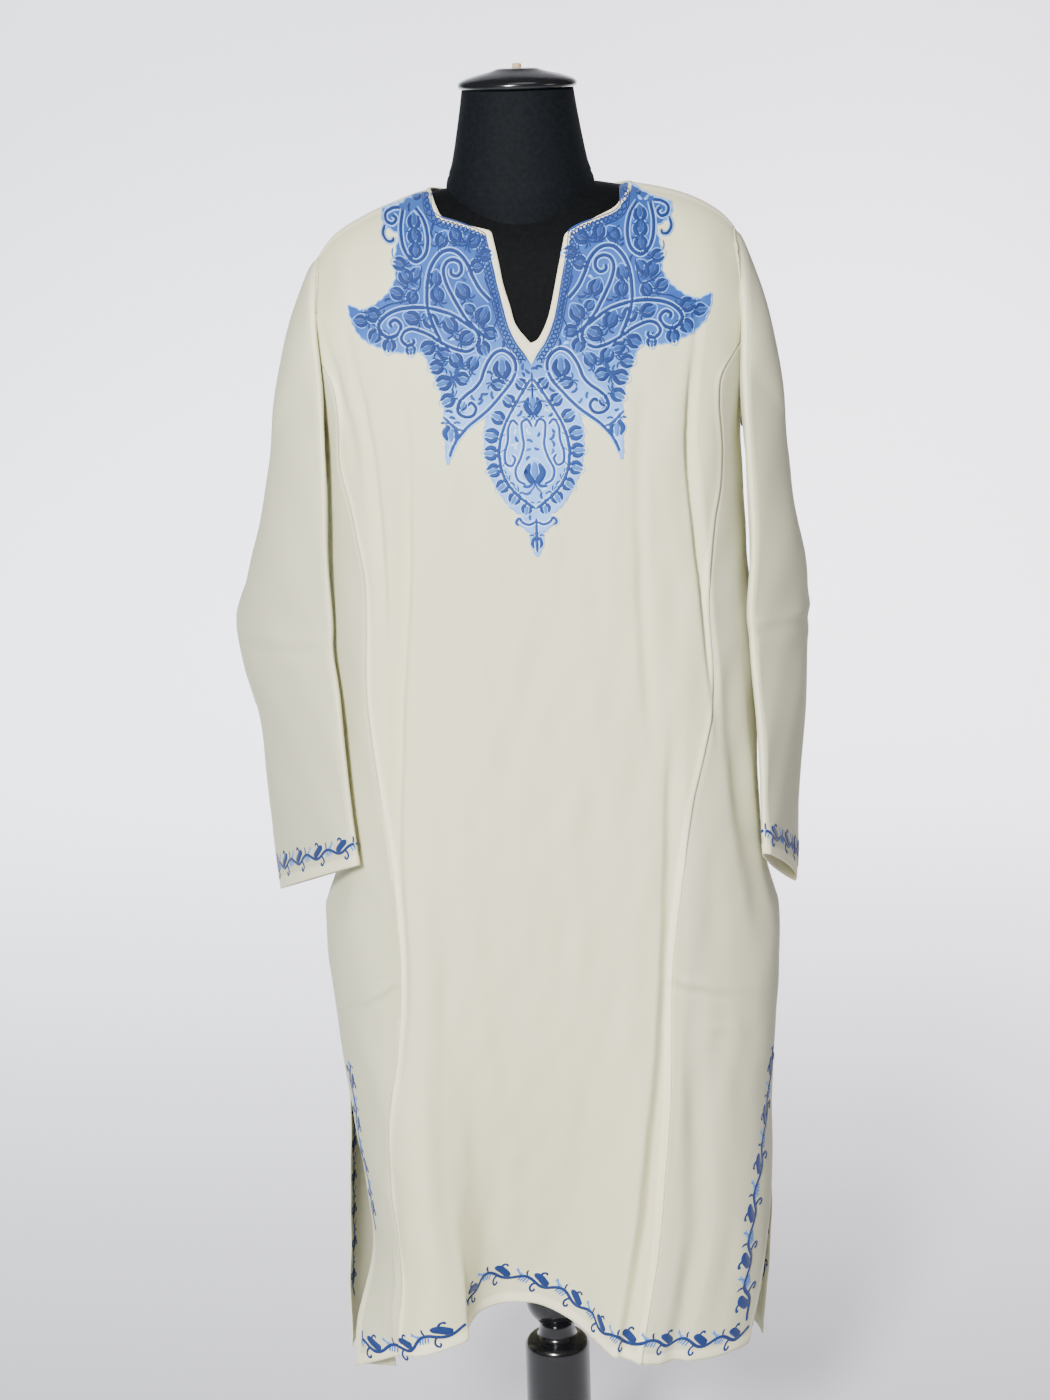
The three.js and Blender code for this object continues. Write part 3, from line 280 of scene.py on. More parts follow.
# a sleeve's twelve rings from the shoulder down: its front ridge, the fold at its back, how far it swells
# out and in between them, and how free it hangs of the armhole
ringNames = "ridgeX ridgeY ridgeZ backX backY backZ outer inner freed"
sleeveTables = {
    "left": makeTable(ringNames, [
        [-192, -16, 1354, -198, 4, 1184, 54, 50, 0.15], [-194, -38, 1335, -210, 18, 1168, 42, 18, 0.5],
        [-195, -56, 1295, -226, 40, 1140, 26, 5, 1], [-193, -64, 1245, -243, 58, 1105, 24, 10, 1],
        [-193, -68, 1180, -262, 68, 1072, 22, 10, 1], [-195, -68, 1100, -280, 70, 1035, 20, 12, 1],
        [-194, -68, 1035, -290, 68, 1003, 18, 12, 1], [-194, -70, 1000, -284, 60, 962, 17, 10, 1],
        [-187.5, -83, 957, -271, 52, 910, 16, 9, 1], [-180, -97, 901, -266, 44, 850, 15, 7, 1],
        [-175, -108, 848, -262, 36, 787, 14, 6, 1], [-171, -114, 810, -258, 29, 740, 13, 5, 1],
    ]),
    "right": makeTable(ringNames, [
        [200, -16, 1366, 206, 4, 1184, 54, 50, 0.15], [200, -38, 1345, 216, 20, 1168, 40, 18, 0.5],
        [202, -56, 1299, 227, 44, 1140, 24, 5, 1], [202, -64, 1245, 238, 64, 1105, 22, 10, 1],
        [205, -68, 1180, 248, 76, 1072, 20, 10, 1], [208, -70, 1100, 262, 78, 1035, 20, 12, 1],
        [205, -70, 1035, 267, 76, 1003, 18, 12, 1], [206, -70, 1000, 265, 70, 962, 17, 10, 1],
        [207.5, -80, 951, 262, 62, 905, 16, 9, 1], [207, -88, 898, 256, 58, 842, 13, 8, 1],
        [207, -96, 844, 253, 52, 775, 11, 6, 1], [208, -102, 804, 251, 48, 724, 10, 5, 1],
    ]),
}
dress = {
    "centreX": 4, "rollFront": 65, "rollBack": 40, "backSquare": 0.34,
    "chestZ": 1275, "armpitZ": 1190, "armholeExtraRight": 7.5,
    "levelZ": 445, "lastRow": 280, "backHemZ": 252,
    "turnRadius": 6, "turnAngle": math.radians(122), "turnedLength": 52, "turnedDrop": 11,
}
backNeck = {"middle": 8, "openHalf": 90, "openDrop": 15.5, "panelHalf": 95, "panelDrop": 20.5}


# A smooth curve through values that are given at rising keys.
def smoothCurve(keys, values, at):
    last = len(keys) - 1
    at = np.clip(np.asarray(at, dtype=float), keys[0], keys[-1])
    i = np.clip(np.searchsorted(keys, at, side="right") - 1, 0, last - 1)
    before = np.maximum(np.arange(last + 1) - 1, 0)
    after = np.minimum(np.arange(last + 1) + 1, last)
    slopes = (values[after] - values[before]) / (keys[after] - keys[before])
    span = keys[i + 1] - keys[i]
    t = (at - keys[i]) / span
    t2, t3 = t * t, t * t * t
    return (
        (2 * t3 - 3 * t2 + 1) * values[i] + (t3 - 2 * t2 + t) * slopes[i] * span
        + (3 * t2 - 2 * t3) * values[i + 1] + (t3 - t2) * slopes[i + 1] * span
    )


def readColumn(rows, name, at):
    return smoothCurve(rows["keys"], rows[name], -np.asarray(at, dtype=float))


# The dress hangs unevenly, so left and right each have a column of their own.
def readHand(q, left, right, z):
    return np.where(q < 0, readColumn(bodyRows, left, z), readColumn(bodyRows, right, z))


def blend(a, b, t):
    return a + (b - a) * t


def smoothStep(low, high, value):
    t = np.clip((value - low) / (high - low), 0, 1)
    return t * t * (3 - 2 * t)


def shoulderHeight(x):
    out = np.abs(x - dress["centreX"])
    left = readColumn(shoulderRows, "left", out)
    right = readColumn(shoulderRows, "right", out)
    return np.where(x < dress["centreX"], left, right)


def shoulderRoll(side, drop):
    # from 0 on the shoulder line to 1 where the cloth falls straight
    roll = dress["rollFront"] if side == "front" else dress["rollBack"]
    share = np.clip(drop / roll, 0, 1)
    return np.sqrt(1 - (1 - share) ** 2)


def armholeX(sign, z):
    return sign * (readColumn(armholeRows, "x", z) + (dress["armholeExtraRight"] if sign > 0 else 0))


def armholeZ(sign, drop):
    # the height on the armhole that is a given drop below the shoulder line
    z = np.full_like(np.asarray(drop, dtype=float), dress["chestZ"])
    for _ in range(12):
        z = shoulderHeight(armholeX(sign, z)) - drop
    return z


def halfWidth(side, q, z):
    hands = ("left", "right") if side == "front" else ("backLeft", "backRight")
    return readHand(q, *hands, z)


# The dress before its folds: q is -1 and 1 at the side seams.
def plainPoint(side, q, z):
    q, z = np.broadcast_arrays(np.asarray(q, dtype=float), np.asarray(z, dtype=float))
    front = side == "front"
    turn = np.full_like(q, math.pi / 2)
    square = np.full_like(q, dress["backSquare"])
    if front:
        turn = np.radians(np.minimum(90, readHand(q, "leftTurn", "rightTurn", z)))
        square = readHand(q, "leftSquare", "rightSquare", z)
    angle = q * turn
    x = halfWidth(side, q, z) * np.sin(angle) / np.sin(turn)
    depth = readColumn(bodyRows, side, z) * np.cos(angle) * (1 + square * np.sin(angle) ** 2)
    y = depth * shoulderRoll(side, shoulderHeight(x) - z)
    return np.stack([x, -y if front else y, z], axis=-1)


def foldShift(side, q, z):
    depth, lean = np.zeros_like(q), np.zeros_like(q)
    for name, rows in foldTables[side].items():
        at = readColumn(rows, "at", z)
        width = np.where(q > at, readColumn(rows, "after", z), readColumn(rows, "before", z))
        share = np.clip((q - at) / width, -1, 1)
        shape = (1 - share ** (4 if name in flatFolds else 2)) ** 2 * (z <= rows["z"][0])
        depth = depth + readColumn(rows, "depth", z) * shape
        lean = lean + readColumn(rows, "lean", z) * shape
    return depth, lean


def clothPoint(side, q, z):
    q, z = np.broadcast_arrays(np.asarray(q, dtype=float), np.asarray(z, dtype=float))
    depth, lean = foldShift(side, q, z)
    step = 0.002
    along = plainPoint(side, np.minimum(q + step, 1), z) - plainPoint(side, np.maximum(q - step, -1), z)
    along[..., 2] = 0
    along /= np.linalg.norm(along, axis=-1, keepdims=True)
    inward = np.stack([-along[..., 1], along[..., 0], np.zeros_like(q)], axis=-1)
    if side == "back":
        inward = -inward
    return plainPoint(side, q, z) + inward * depth[..., None] + along * lean[..., None]


def qAt(side, x, z):
    ratio = np.minimum(1, np.abs(x) / halfWidth(side, x, z))
    return np.sign(x) * np.arcsin(ratio) / (math.pi / 2)


# A small step across the cloth, and how far it goes in q.
def stepAcross(side, q, z):
    low, high = np.maximum(q - 0.004, -1), np.minimum(q + 0.004, 1)
    return clothPoint(side, high, z) - clothPoint(side, low, z), high - low


def unit(vectors):
    return vectors / np.maximum(np.linalg.norm(vectors, axis=-1, keepdims=True), 1e-9)


# The direction out of the cloth: over the shoulder it is taken along and down the slope.
def facingOut(side, q, z):
    point = clothPoint(side, q, z)
    x, drop = point[..., 0], shoulderHeight(point[..., 0]) - z

    def dropPoint(atX, atDrop):
        height = shoulderHeight(atX) - atDrop
        return clothPoint(side, qAt(side, atX, height), height)

    sloping = (drop < dress["rollFront"]) & (z > dress["armpitZ"])
    across, _ = stepAcross(side, q, z)
    down = clothPoint(side, q, z - 1.5) - clothPoint(side, q, z + 1.5)
    acrossSlope = dropPoint(x + 0.8, drop) - dropPoint(x - 0.8, drop)
    downSlope = dropPoint(x, drop + 0.3) - dropPoint(x, np.maximum(drop - 0.3, 0))
    across = np.where(sloping[..., None], acrossSlope, across)
    down = np.where(sloping[..., None], downSlope, down)
    out = unit(np.cross(across, down))
    return -out if side == "front" else out


def hemHeight(side, q):
    return readColumn(frontHemRows, "z", q) if side == "front" else np.full_like(q, dress["backHemZ"])


def hemShare(row):
    return np.clip((dress["levelZ"] - row) / (dress["levelZ"] - dress["lastRow"]), 0, 1)


def rowHeight(side, row, q):
    # level rows above, and rows that follow the hem below
    return np.where(row >= dress["levelZ"], row, blend(dress["levelZ"], hemHeight(side, q), hemShare(row)))


# Small unevenness of hanging cloth: a few dozen seeded waves, long down the grain and short across.
unevenness = {"waves": 34, "depth": 0.75, "across": (18, 90), "down": (90, 420)}
waveSeed = random.Random(7)
waves = [
    (
        2 * math.pi / waveSeed.uniform(*unevenness["across"]) * waveSeed.choice((-1, 1)),
        2 * math.pi / waveSeed.uniform(*unevenness["down"]),
        waveSeed.uniform(0, 2 * math.pi),
    )
    for _ in range(unevenness["waves"])
]


def softWaves(a, b):
    total = np.zeros_like(a)
    for acrossRate, downRate, phase in waves:
        total = total + np.sin(a * acrossRate + b * downRate + phase + 1.3 * np.sin(b * downRate * 0.7))
    return total * unevenness["depth"] / math.sqrt(unevenness["waves"])


# Marks pressed or creased into the dress: width and height in millimetres, and (q, z) places.
creases = {
    "front": [
        (4.5, 3.0, [(-0.44, 697), (-0.50, 688), (-0.558, 679), (-0.66, 663), (-0.78, 643)]),
        (4.0, -1.6, [(-0.45, 688), (-0.558, 670), (-0.70, 648)]),
        (4.5, 3.0, [(0.28, 692), (0.36, 687), (0.43, 682), (0.586, 668), (0.70, 655)]),
        (4.0, -1.6, [(0.30, 680), (0.43, 671), (0.58, 656)]),
        (4.5, 1.5, [(0.42, 640), (0.52, 633), (0.66, 620)]),
        (2.6, 1.6, [(-0.742, 420), (-0.735, 380), (-0.735, 340), (-0.73, 300)]),
        (2.2, 0.9, [(0.335, 470), (0.34, 400), (0.345, 300)]),
    ],
    "back": [(4.0, 1.0, [(-0.60, 690), (-0.30, 676), (0.05, 682), (0.40, 672), (0.72, 684)])],
}


def creaseLift(side, q, z):
    x = plainPoint(side, q, z)[..., 0]
    total = np.zeros_like(x)
    for width, height, path in creases[side]:
        places = np.array(path, dtype=float)
        line = np.stack([plainPoint(side, places[:, 0], places[:, 1])[:, 0], places[:, 1]], axis=-1)
        nearest = np.full_like(x, 1e6)
        count = len(line) - 1
        for i in range(count):
            start, step = line[i], line[i + 1] - line[i]
            t = np.clip(((x - start[0]) * step[0] + (z - start[1]) * step[1]) / (step @ step), 0, 1)
            away = np.hypot(x - start[0] - t * step[0], z - start[1] - t * step[1])
            strength = np.sin(math.pi * np.clip((i + t + 0.35) / (count + 0.7), 0, 1)) ** 0.5
            nearest = np.minimum(nearest, away + 4 * width * (1 - strength))
        total = total + height * np.exp(-((nearest / width) ** 2))
    return total


# Doubled strips of cloth: how wide they are, and how far they stand out, in millimetres.
strip = {
    "hem": 11, "hemLift": 0.5, "slitTop": 600, "slitLift": 0.3, "seam": 7, "seamLift": 0.45,
    "shoulder": 3.2, "shoulderLift": 0.9, "neckHalf": 85,
    "perHalf": 1.4,  # cloth to one unit of q, as a share of the half width
}


# Where the cloth is doubled: (share, its lift in millimetres), each share from 0 to 1.
def doubledStrips(side, q, z):
    x = plainPoint(side, q, z)[..., 0]
    perQ = halfWidth(side, q, z) * strip["perHalf"]
    aboveHem = z - hemHeight(side, q)
    yield smoothStep(strip["hem"] + 1.5, strip["hem"] - 1.0, aboveHem), strip["hemLift"]
    if side == "front":
        drop = shoulderHeight(x) - z
        outside = smoothStep(strip["neckHalf"], strip["neckHalf"] + 15, np.abs(x - dress["centreX"]))
        yield outside * smoothStep(strip["shoulder"], strip["shoulder"] / 2, drop), strip["shoulderLift"]
    for hand in ("left", "right"):
        seamLine = readColumn(seams[side, hand], "q", z)
        away = np.abs(q - seamLine) * perQ
        below = smoothStep(dress["chestZ"], dress["chestZ"] - 25, z)
        onPanel = (np.abs(q) < np.abs(seamLine)) & (np.sign(q) == np.sign(seamLine))
        share = smoothStep(strip["seam"] + 1.5, strip["seam"] - 1.5, away)
        yield share * onPanel * below, strip["seamLift"]
    slitEdge = smoothStep(strip["hem"], strip["hem"] - 2, (1 - np.abs(q)) * perQ)
    yield slitEdge * smoothStep(strip["slitTop"], strip["slitTop"] - 20, z), strip["slitLift"]


def doubling(side, q, z):
    return np.clip(sum(share for share, _ in doubledStrips(side, q, z)), 0, 1)


# Everything that stands a little proud of the plain hang, in millimetres.
def clothRelief(side, q, z):
    x = plainPoint(side, q, z)[..., 0]
    lift = softWaves(x, z) * smoothStep(0, 40, shoulderHeight(x) - z) + creaseLift(side, q, z)
    return lift + sum(share * height for share, height in doubledStrips(side, q, z))


# Places on the finished cloth in metres, and the direction out of it.
def onCloth(side, q, z, lift=0.0):
    q, z = np.broadcast_arrays(np.asarray(q, dtype=float), np.asarray(z, dtype=float))
    out = facingOut(side, q, z)
    point = clothPoint(side, q, z) + out * (clothRelief(side, q, z) + lift)[..., None]
    return point * mm + np.array([standX, 0, 0]), out


# Places for a stretch of cloth, and where it is doubled.
def clothPlace(side, q, z):
    return onCloth(side, q, z)[0], doubling(side, q, z)


print("hang of the cloth ready")


waveSpan = 0.314  # a wave texture repeats once in this many metres, divided by its scale


# Plain-weave cotton: an over-and-under weave with uneven, slubby yarn. The real yarns lie about 0.5 mm
# apart, finer than a viewer can see, so the weave is drawn at 2 mm.
def makeCotton(name, color, deepColor, doubledAndHighlightColor):
    material, tree, surface = newMaterial(name)
    cloth = addNode(tree, "UVMap", uv_map="UVMap").outputs["UV"]
    threads = {"Vector": cloth, "Scale": waveSpan / 0.002, "Distortion": 0.0}
    across, down = (addNode(tree, "TexWave", threads, bands_direction=way).outputs["Fac"] for way in "XY")
    weave = addNode(tree, "Math", {0: across, 1: down}, operation="MULTIPLY")
    slubs = []
    for scale in ((30, 900, 1), (700, 24, 1)):  # thick stretches of yarn, one way and then the other
        stretched = addNode(tree, "Mapping", {"Vector": cloth, "Scale": scale})
        noise = {"Vector": stretched.outputs["Vector"], "Scale": 1.0, "Detail": 2.0, "Roughness": 0.55}
        slubs.append(addNode(tree, "TexNoise", noise).outputs["Fac"])
    yarn = addNode(tree, "Math", {0: slubs[0], 1: slubs[1]}, operation="MULTIPLY").outputs["Value"]
    relief = addNode(tree, "Math", {0: weave.outputs["Value"], 1: yarn}, operation="ADD")
    bump = addNode(tree, "Bump", {"Height": relief.outputs["Value"], "Strength": 0.24, "Distance": 0.0006})
    tone = addNode(tree, "ValToRGB", {"Fac": yarn}, [(0.14, deepColor), (0.34, color)])
    # where two layers lie together the cloth is less see-through and looks warmer; the same lighter
    # colour along the sleeves' front ridges is a painted highlight
    doubled_and_ridge_highlight = addNode(tree, "Attribute", attribute_name="doubled_and_ridge_highlight").outputs["Fac"]
    shades = {0: doubled_and_ridge_highlight, 6: tone.outputs["Color"], 7: srgb(doubledAndHighlightColor)}
    layers = addNode(tree, "Mix", shades, data_type="RGBA")
    setInputs(tree, surface, {
        "Base Color": layers.outputs[2], "Normal": bump.outputs["Normal"], "Roughness": 0.86,
        "Specular IOR Level": 0.25, "Sheen Weight": 0.12, "Sheen Roughness": 0.5,
    })
    return material


# each cotton: its own colour, the deeper one between its yarns, and the one where it is doubled, which
# also paints the highlight along the sleeves' front ridges
creamCotton = makeCotton("cream cotton", "#e5e4c1", "#d4d2a8", "#f2eecb")
# painted shade: gores and sleeves get a greyer cream than the panels, for the shade they hang in
shadedSideCotton = makeCotton("cream cotton with painted shade", "#d0d0b3", "#c0bf9d", "#e3e0bd")
tapeCotton = makeCotton("cotton tape", "#efe6cb", "#e4dabb", "#f2e8c8")


# Dull black jersey, a fine knit that soaks up light and shows it only at a slant.
def makeJersey(name, deepColor, color):
    material, tree, surface = newMaterial(name)
    place = addNode(tree, "TexCoord").outputs["Object"]
    knit = addNode(tree, "TexNoise", {"Vector": place, "Scale": 260.0, "Detail": 2.0}).outputs["Fac"]
    bump = addNode(tree, "Bump", {"Height": knit, "Strength": 0.2, "Distance": 0.0006})
    tone = addNode(tree, "ValToRGB", {"Fac": knit}, [(0.35, deepColor), (0.70, color)])
    setInputs(tree, surface, {
        "Base Color": tone.outputs["Color"], "Normal": bump.outputs["Normal"], "Roughness": 0.78,
        "Specular IOR Level": 0.1, "Sheen Weight": 0.025, "Sheen Roughness": 0.45,
        "Sheen Tint": srgb("#c8d4e6"),
    })
    return material


# Black lacquer over turned wood or steel: a smooth coat with slightly uneven gloss.
def makeLacquer(name, color, roughness):
    material, tree, surface = newMaterial(name)
    place = addNode(tree, "TexCoord").outputs["Object"]
    clouds = addNode(tree, "TexNoise", {"Vector": place, "Scale": 22.0, "Detail": 3.0}).outputs["Fac"]
    uneven = {"Value": clouds, "To Min": roughness * 0.8, "To Max": roughness * 1.3}
    gloss = addNode(tree, "MapRange", uneven)
    setInputs(tree, surface, {
        "Base Color": srgb(color), "Roughness": gloss.outputs["Result"],
        "Coat Weight": 0.4, "Coat Roughness": 0.08,
    })
    return material


# Pale turned beech: a straight grain of slightly darker lines along the peg.
def makeBeech(name, deepColor, color):
    material, tree, surface = newMaterial(name)
    place = addNode(tree, "TexCoord").outputs["Object"]
    grain = addNode(tree, "Mapping", {"Vector": place, "Scale": (900, 900, 60)}).outputs["Vector"]
    lines = addNode(tree, "TexNoise", {"Vector": grain, "Scale": 1.0, "Detail": 2.0}).outputs["Fac"]
    tone = addNode(tree, "ValToRGB", {"Fac": lines}, [(0.3, deepColor), (0.7, color)])
    setInputs(tree, surface, {"Base Color": tone.outputs["Color"], "Roughness": 0.6})
    return material


# painted shade: the torso's cover is the neck's jersey in a darker colour, for the shade on the chest
shadedTorsoJersey = makeJersey("black cotton jersey with painted shade", "#030405", "#07090b")
neckJersey = makeJersey("black cotton jersey", "#080b0f", "#0e1216")
capLacquer = makeLacquer("black gloss lacquer on wood", "#121316", 0.2)
standLacquer = makeLacquer("black gloss enamel on steel", "#0f1013", 0.2)
beech = makeBeech("pale beech", "#b39a6c", "#d3c097")
print("materials ready")


# Moves vertices to their points, each with a value of its own and its place on the flat cloth in metres.
def settle(verts, points, values, places, weave, layer):
    for vert, point, value, place in zip(verts, points, values, places):
        vert.co = point
        vert[layer] = value
        for loop in vert.link_loops:
            loop[weave].uv = place


# Lays a grid of cells and moves it into place; s runs across and t down, both from 0 to 1. A place
# gives its points, and where the cloth is doubled if it has such strips; on the sleeves these strips
# include a painted highlight along the front ridge.
def layGrid(bm, across, down, place, size):
    weave = bm.loops.layers.uv.verify()
    doubled_and_ridge_highlight = bm.verts.layers.float.get("doubled_and_ridge_highlight") or bm.verts.layers.float.new("doubled_and_ridge_highlight")
    made = bmesh.ops.create_grid(bm, x_segments=across, y_segments=down, size=0.5)["verts"]
    s = np.array([vert.co.x for vert in made]) + 0.5
    t = 0.5 - np.array([vert.co.y for vert in made])
    placed = place(s, t)
    points, shares = placed if isinstance(placed, tuple) else (placed, np.zeros_like(s))
    settle(made, points, shares, zip(s * size[0], t * size[1]), weave, doubled_and_ridge_highlight)
    return list({face for vert in made for face in vert.link_faces})


# Turns the faces of an open sheet away from the pole.
def faceAway(bm):
    bm.normal_update()
    turned = 0.0
    for face in bm.faces:
        middle = face.calc_center_median()
        turned += face.normal.x * (middle.x - standX) + face.normal.y * middle.y
    if turned < 0:
        bmesh.ops.reverse_faces(bm, faces=bm.faces)


def makeObject(name, bm, material):
    mesh = bpy.data.meshes.new(name)
    bm.to_mesh(mesh)
    bm.free()
    mesh.materials.append(material)
    mesh.shade_smooth()
    made = bpy.data.objects.new(name, mesh)
    bpy.context.collection.objects.link(made)
    return made


# A piece of the object; a sheet's wall, in millimetres, grows inwards.
def makePiece(name, bm, material, wall=None):
    piece = makeObject(name, bm, material)
    if wall:
        solidify = piece.modifiers.new("wall", "SOLIDIFY")
        solidify.thickness = wall * mm
        solidify.offset = -1.0
    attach(piece, "root")
    return piece


# Front panel: two halves above the chest, either side of the split, and one stretch below it.
panel = {
    "wall": 1.3, "across": 122, "above": 66, "below": 320, "backAbove": 60, "backBelow": 240,
    "lowerFlat": (0.40, 1.0), "upperFlat": (0.40, 0.16), "tuck": 6, "tuckDepth": 1.7,
    "perQ": 200,  # about how many millimetres of cloth go to one unit of q at the seams
    "underTape": 0.5,  # share of the tape's width that the cloth reaches under
}
neckSplitRow = 6  # the neck table's row at the top of the split
neckLastRow = 11  # its row at the foot of the split
neckParts = ((0, neckSplitRow), (neckSplitRow, neckLastRow))  # round the neck, and down the split


def readNeck(name, row):
    around, down = (
        smoothCurve(np.arange(first, last + 1.0), neckRows[name][first:last + 1], row)
        for first, last in neckParts
    )
    value = np.where(row < neckSplitRow, around, down)
    if name.endswith("Drop") or name == "armhole":
        value = np.where(row < 1, neckRows[name][1] * np.clip(row, 0, 1) ** 2, value)
    return value


def seamQ(side, hand, z):
    return readColumn(seams[side, hand], "q", z)


def frontLower(s, t):
    row = blend(dress["chestZ"], dress["lastRow"], t)
    middle = qAt("front", dress["centreX"], row)
    left, right = seamQ("front", "left", row), seamQ("front", "right", row)
    q = np.where(s < 0.5, blend(left, middle, s * 2), blend(middle, right, s * 2 - 1))
    return clothPlace("front", q, rowHeight("front", row, q))


def frontUpper(hand, sign):
    chest = dress["chestZ"]

    def place(s, t):
        row = t * neckLastRow
        early = np.minimum(row, neckLastRow - 1)
        middle, seam = qAt("front", dress["centreX"], chest), seamQ("front", hand, chest)
        chestX = plainPoint("front", blend(middle, seam, s), chest)[..., 0]
        endX = plainPoint("front", seam, chest)[..., 0]
        share = (chestX - dress["centreX"]) / (endX - dress["centreX"])
        armhole = readNeck("armhole", early)
        innerX = readNeck(hand + "X", early) + sign * readNeck("across", early) * panel["underTape"]
        innerDrop = readNeck(hand + "Drop", early) + readNeck("down", early) * panel["underTape"]
        x = blend(innerX, armholeX(sign, armholeZ(sign, armhole)), share)
        z = shoulderHeight(x) - blend(innerDrop, armhole, share)
        late = np.clip(row - (neckLastRow - 1), 0, 1)
        x, z = blend(x, chestX, late), blend(z, chest, late)
        return clothPlace("front", qAt("front", x, z), z)

    return place


def buildFrontPanel(material):
    bm = bmesh.new()
    layGrid(bm, panel["across"], panel["below"], frontLower, panel["lowerFlat"])
    width, length = panel["upperFlat"]
    for hand, sign in (("left", -1), ("right", 1)):
        place = frontUpper(hand, sign)
        half = layGrid(bm, panel["across"] // 2, panel["above"], place, (sign * width / 2, length))
        if sign < 0:
            bmesh.ops.reverse_faces(bm, faces=half)
    bmesh.ops.remove_doubles(bm, verts=bm.verts, dist=0.0002)
    faceAway(bm)
    piece = makePiece("front_panel_cloth", bm, material, panel["wall"])
    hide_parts("front_panel")


# Back panel: rows follow the shoulders and the back of the neck, then the seams.
def backUpper(s, t):
    chest = dress["chestZ"]
    share = t ** 2.2  # rows lie closer together near the shoulders
    left, right = seamQ("back", "left", chest), seamQ("back", "right", chest)
    chestX = plainPoint("back", blend(left, right, s), chest)[..., 0]
    isLeft = chestX < dress["centreX"]
    end = np.where(isLeft, *(plainPoint("back", seam, chest)[..., 0] for seam in (left, right)))
    cornerDrop = np.where(isLeft, *(shoulderHeight(armholeX(sign, chest)) - chest for sign in (-1, 1)))
    armholeDrop = share * cornerDrop
    edge = np.where(isLeft, *(armholeX(sign, armholeZ(sign, armholeDrop)) for sign in (-1, 1)))
    near = np.maximum(0, 2 * np.abs(chestX / end) - 1.1) / 0.9
    x = chestX + (edge - end) * near
    half = blend(backNeck["openHalf"], backNeck["panelHalf"], panel["underTape"])
    inNeck = np.minimum(1, np.abs(x - backNeck["middle"]) / half)
    neckDrop = blend(backNeck["openDrop"], backNeck["panelDrop"], panel["underTape"]) * (1 - inNeck ** 4)
    drop = neckDrop + share * (shoulderHeight(x) - neckDrop - chest)
    drop = blend(drop, armholeDrop, near)
    late = smoothStep(0.85, 1, share)
    x, z = blend(x, chestX, late), blend(shoulderHeight(x) - drop, chest, late)
    return clothPlace("back", qAt("back", x, z), z)


def backLower(s, t):
    row = blend(dress["chestZ"], dress["lastRow"], t)
    q = blend(seamQ("back", "left", row), seamQ("back", "right", row), s)
    return clothPlace("back", q, rowHeight("back", row, q))


def buildBackPanel(material):
    bm = bmesh.new()
    layGrid(bm, panel["across"], panel["backBelow"], backLower, panel["lowerFlat"])
    layGrid(bm, panel["across"], panel["backAbove"], backUpper, panel["upperFlat"])
    bmesh.ops.remove_doubles(bm, verts=bm.verts, dist=0.0002)
    bmesh.ops.recalc_face_normals(bm, faces=bm.faces)
    faceAway(bm)
    piece = makePiece("back_panel_cloth", bm, material, panel["wall"])
    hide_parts("back_panel")


# Gores: each starts a little under its panel at the seam and runs to the side seam or the open slit.
gore = {"across": 56, "down": 300, "topZ": 1277, "cuts": {
    # width, length and whole area in metres
    ("front", "left"): (0.19, 1.02, 0.11), ("front", "right"): (0.20, 1.02, 0.14),
    ("back", "left"): (0.16, 1.04, 0.11), ("back", "right"): (0.16, 1.04, 0.12),
}}


def goreEdge(side, sign, z):
    edge = qAt(side, armholeX(sign, z), z)
    return np.where(z > dress["armpitZ"], edge, sign)


def tuckUnder(seam, q, point, out):
    # the first few millimetres lie under the panel
    past = (np.abs(q) - np.abs(seam)) * panel["perQ"]
    depth = panel["tuckDepth"] * smoothStep(3.5, 0.5, past)
    return point - out * (depth * mm)[..., None]


def sideScale(side, z):
    # millimetres of cloth to one unit of q near the side
    near = clothPoint(side, np.full_like(z, 0.9), z) - clothPoint(side, np.full_like(z, 0.98), z)
    return np.linalg.norm(near, axis=-1) / 0.08


# Past the slit edge of the left front gore the cloth curls under and then runs straight inward.
def turnedUnder(distance, z, row):
    edgeQ = np.full_like(z, -1.0)
    edge, out = onCloth("front", edgeQ, z)
    along = clothPoint("front", edgeQ, z) - clothPoint("front", edgeQ + 0.01, z)
    along[..., 2] = 0
    along = unit(along)
    inward = unit(-out * np.array([1, 1, 0]))
    radius, limit = dress["turnRadius"], dress["turnAngle"]
    angle = np.minimum(distance / radius, limit)[..., None]
    straight = np.maximum(0, distance - radius * limit)[..., None]
    heading = along * np.cos(angle) + inward * np.sin(angle)
    moved = along * radius * np.sin(angle) + inward * radius * (1 - np.cos(angle)) + heading * straight
    moved[..., 2] -= dress["turnedDrop"] * hemShare(row) * distance / dress["turnedLength"]
    return edge + moved * mm


def gorePlace(side, hand):
    sign = -1 if hand == "left" else 1
    turned = (side, hand) == ("front", "left")

    def place(s, t):
        row = blend(gore["topZ"], dress["lastRow"], t)
        seam, edge = seamQ(side, hand, row), goreEdge(side, sign, row)
        start = seam - sign * panel["tuck"] / panel["perQ"]
        edge = np.where(np.abs(edge) < np.abs(seam) + 0.004, seam + sign * 0.004, edge)
        if not turned:
            q = blend(start, edge, s)
            z = rowHeight(side, row, q)
            return tuckUnder(seam, q, *onCloth(side, q, z)), doubling(side, q, z)
        scale = sideScale("front", row)
        flatLength = np.abs(edge - start) * scale
        under = readColumn(turnedRows, "length", row)
        distance = s * (flatLength + under)
        q = np.maximum(start - distance / scale, edge)
        z = rowHeight(side, row, q)
        flat = tuckUnder(seam, q, *onCloth(side, q, z))
        past = np.maximum(0, distance - flatLength)
        curled = turnedUnder(past, rowHeight(side, row, np.full_like(row, -1.0)), row)
        return np.where((past > 0)[..., None], curled, flat), doubling(side, q, z)

    return place


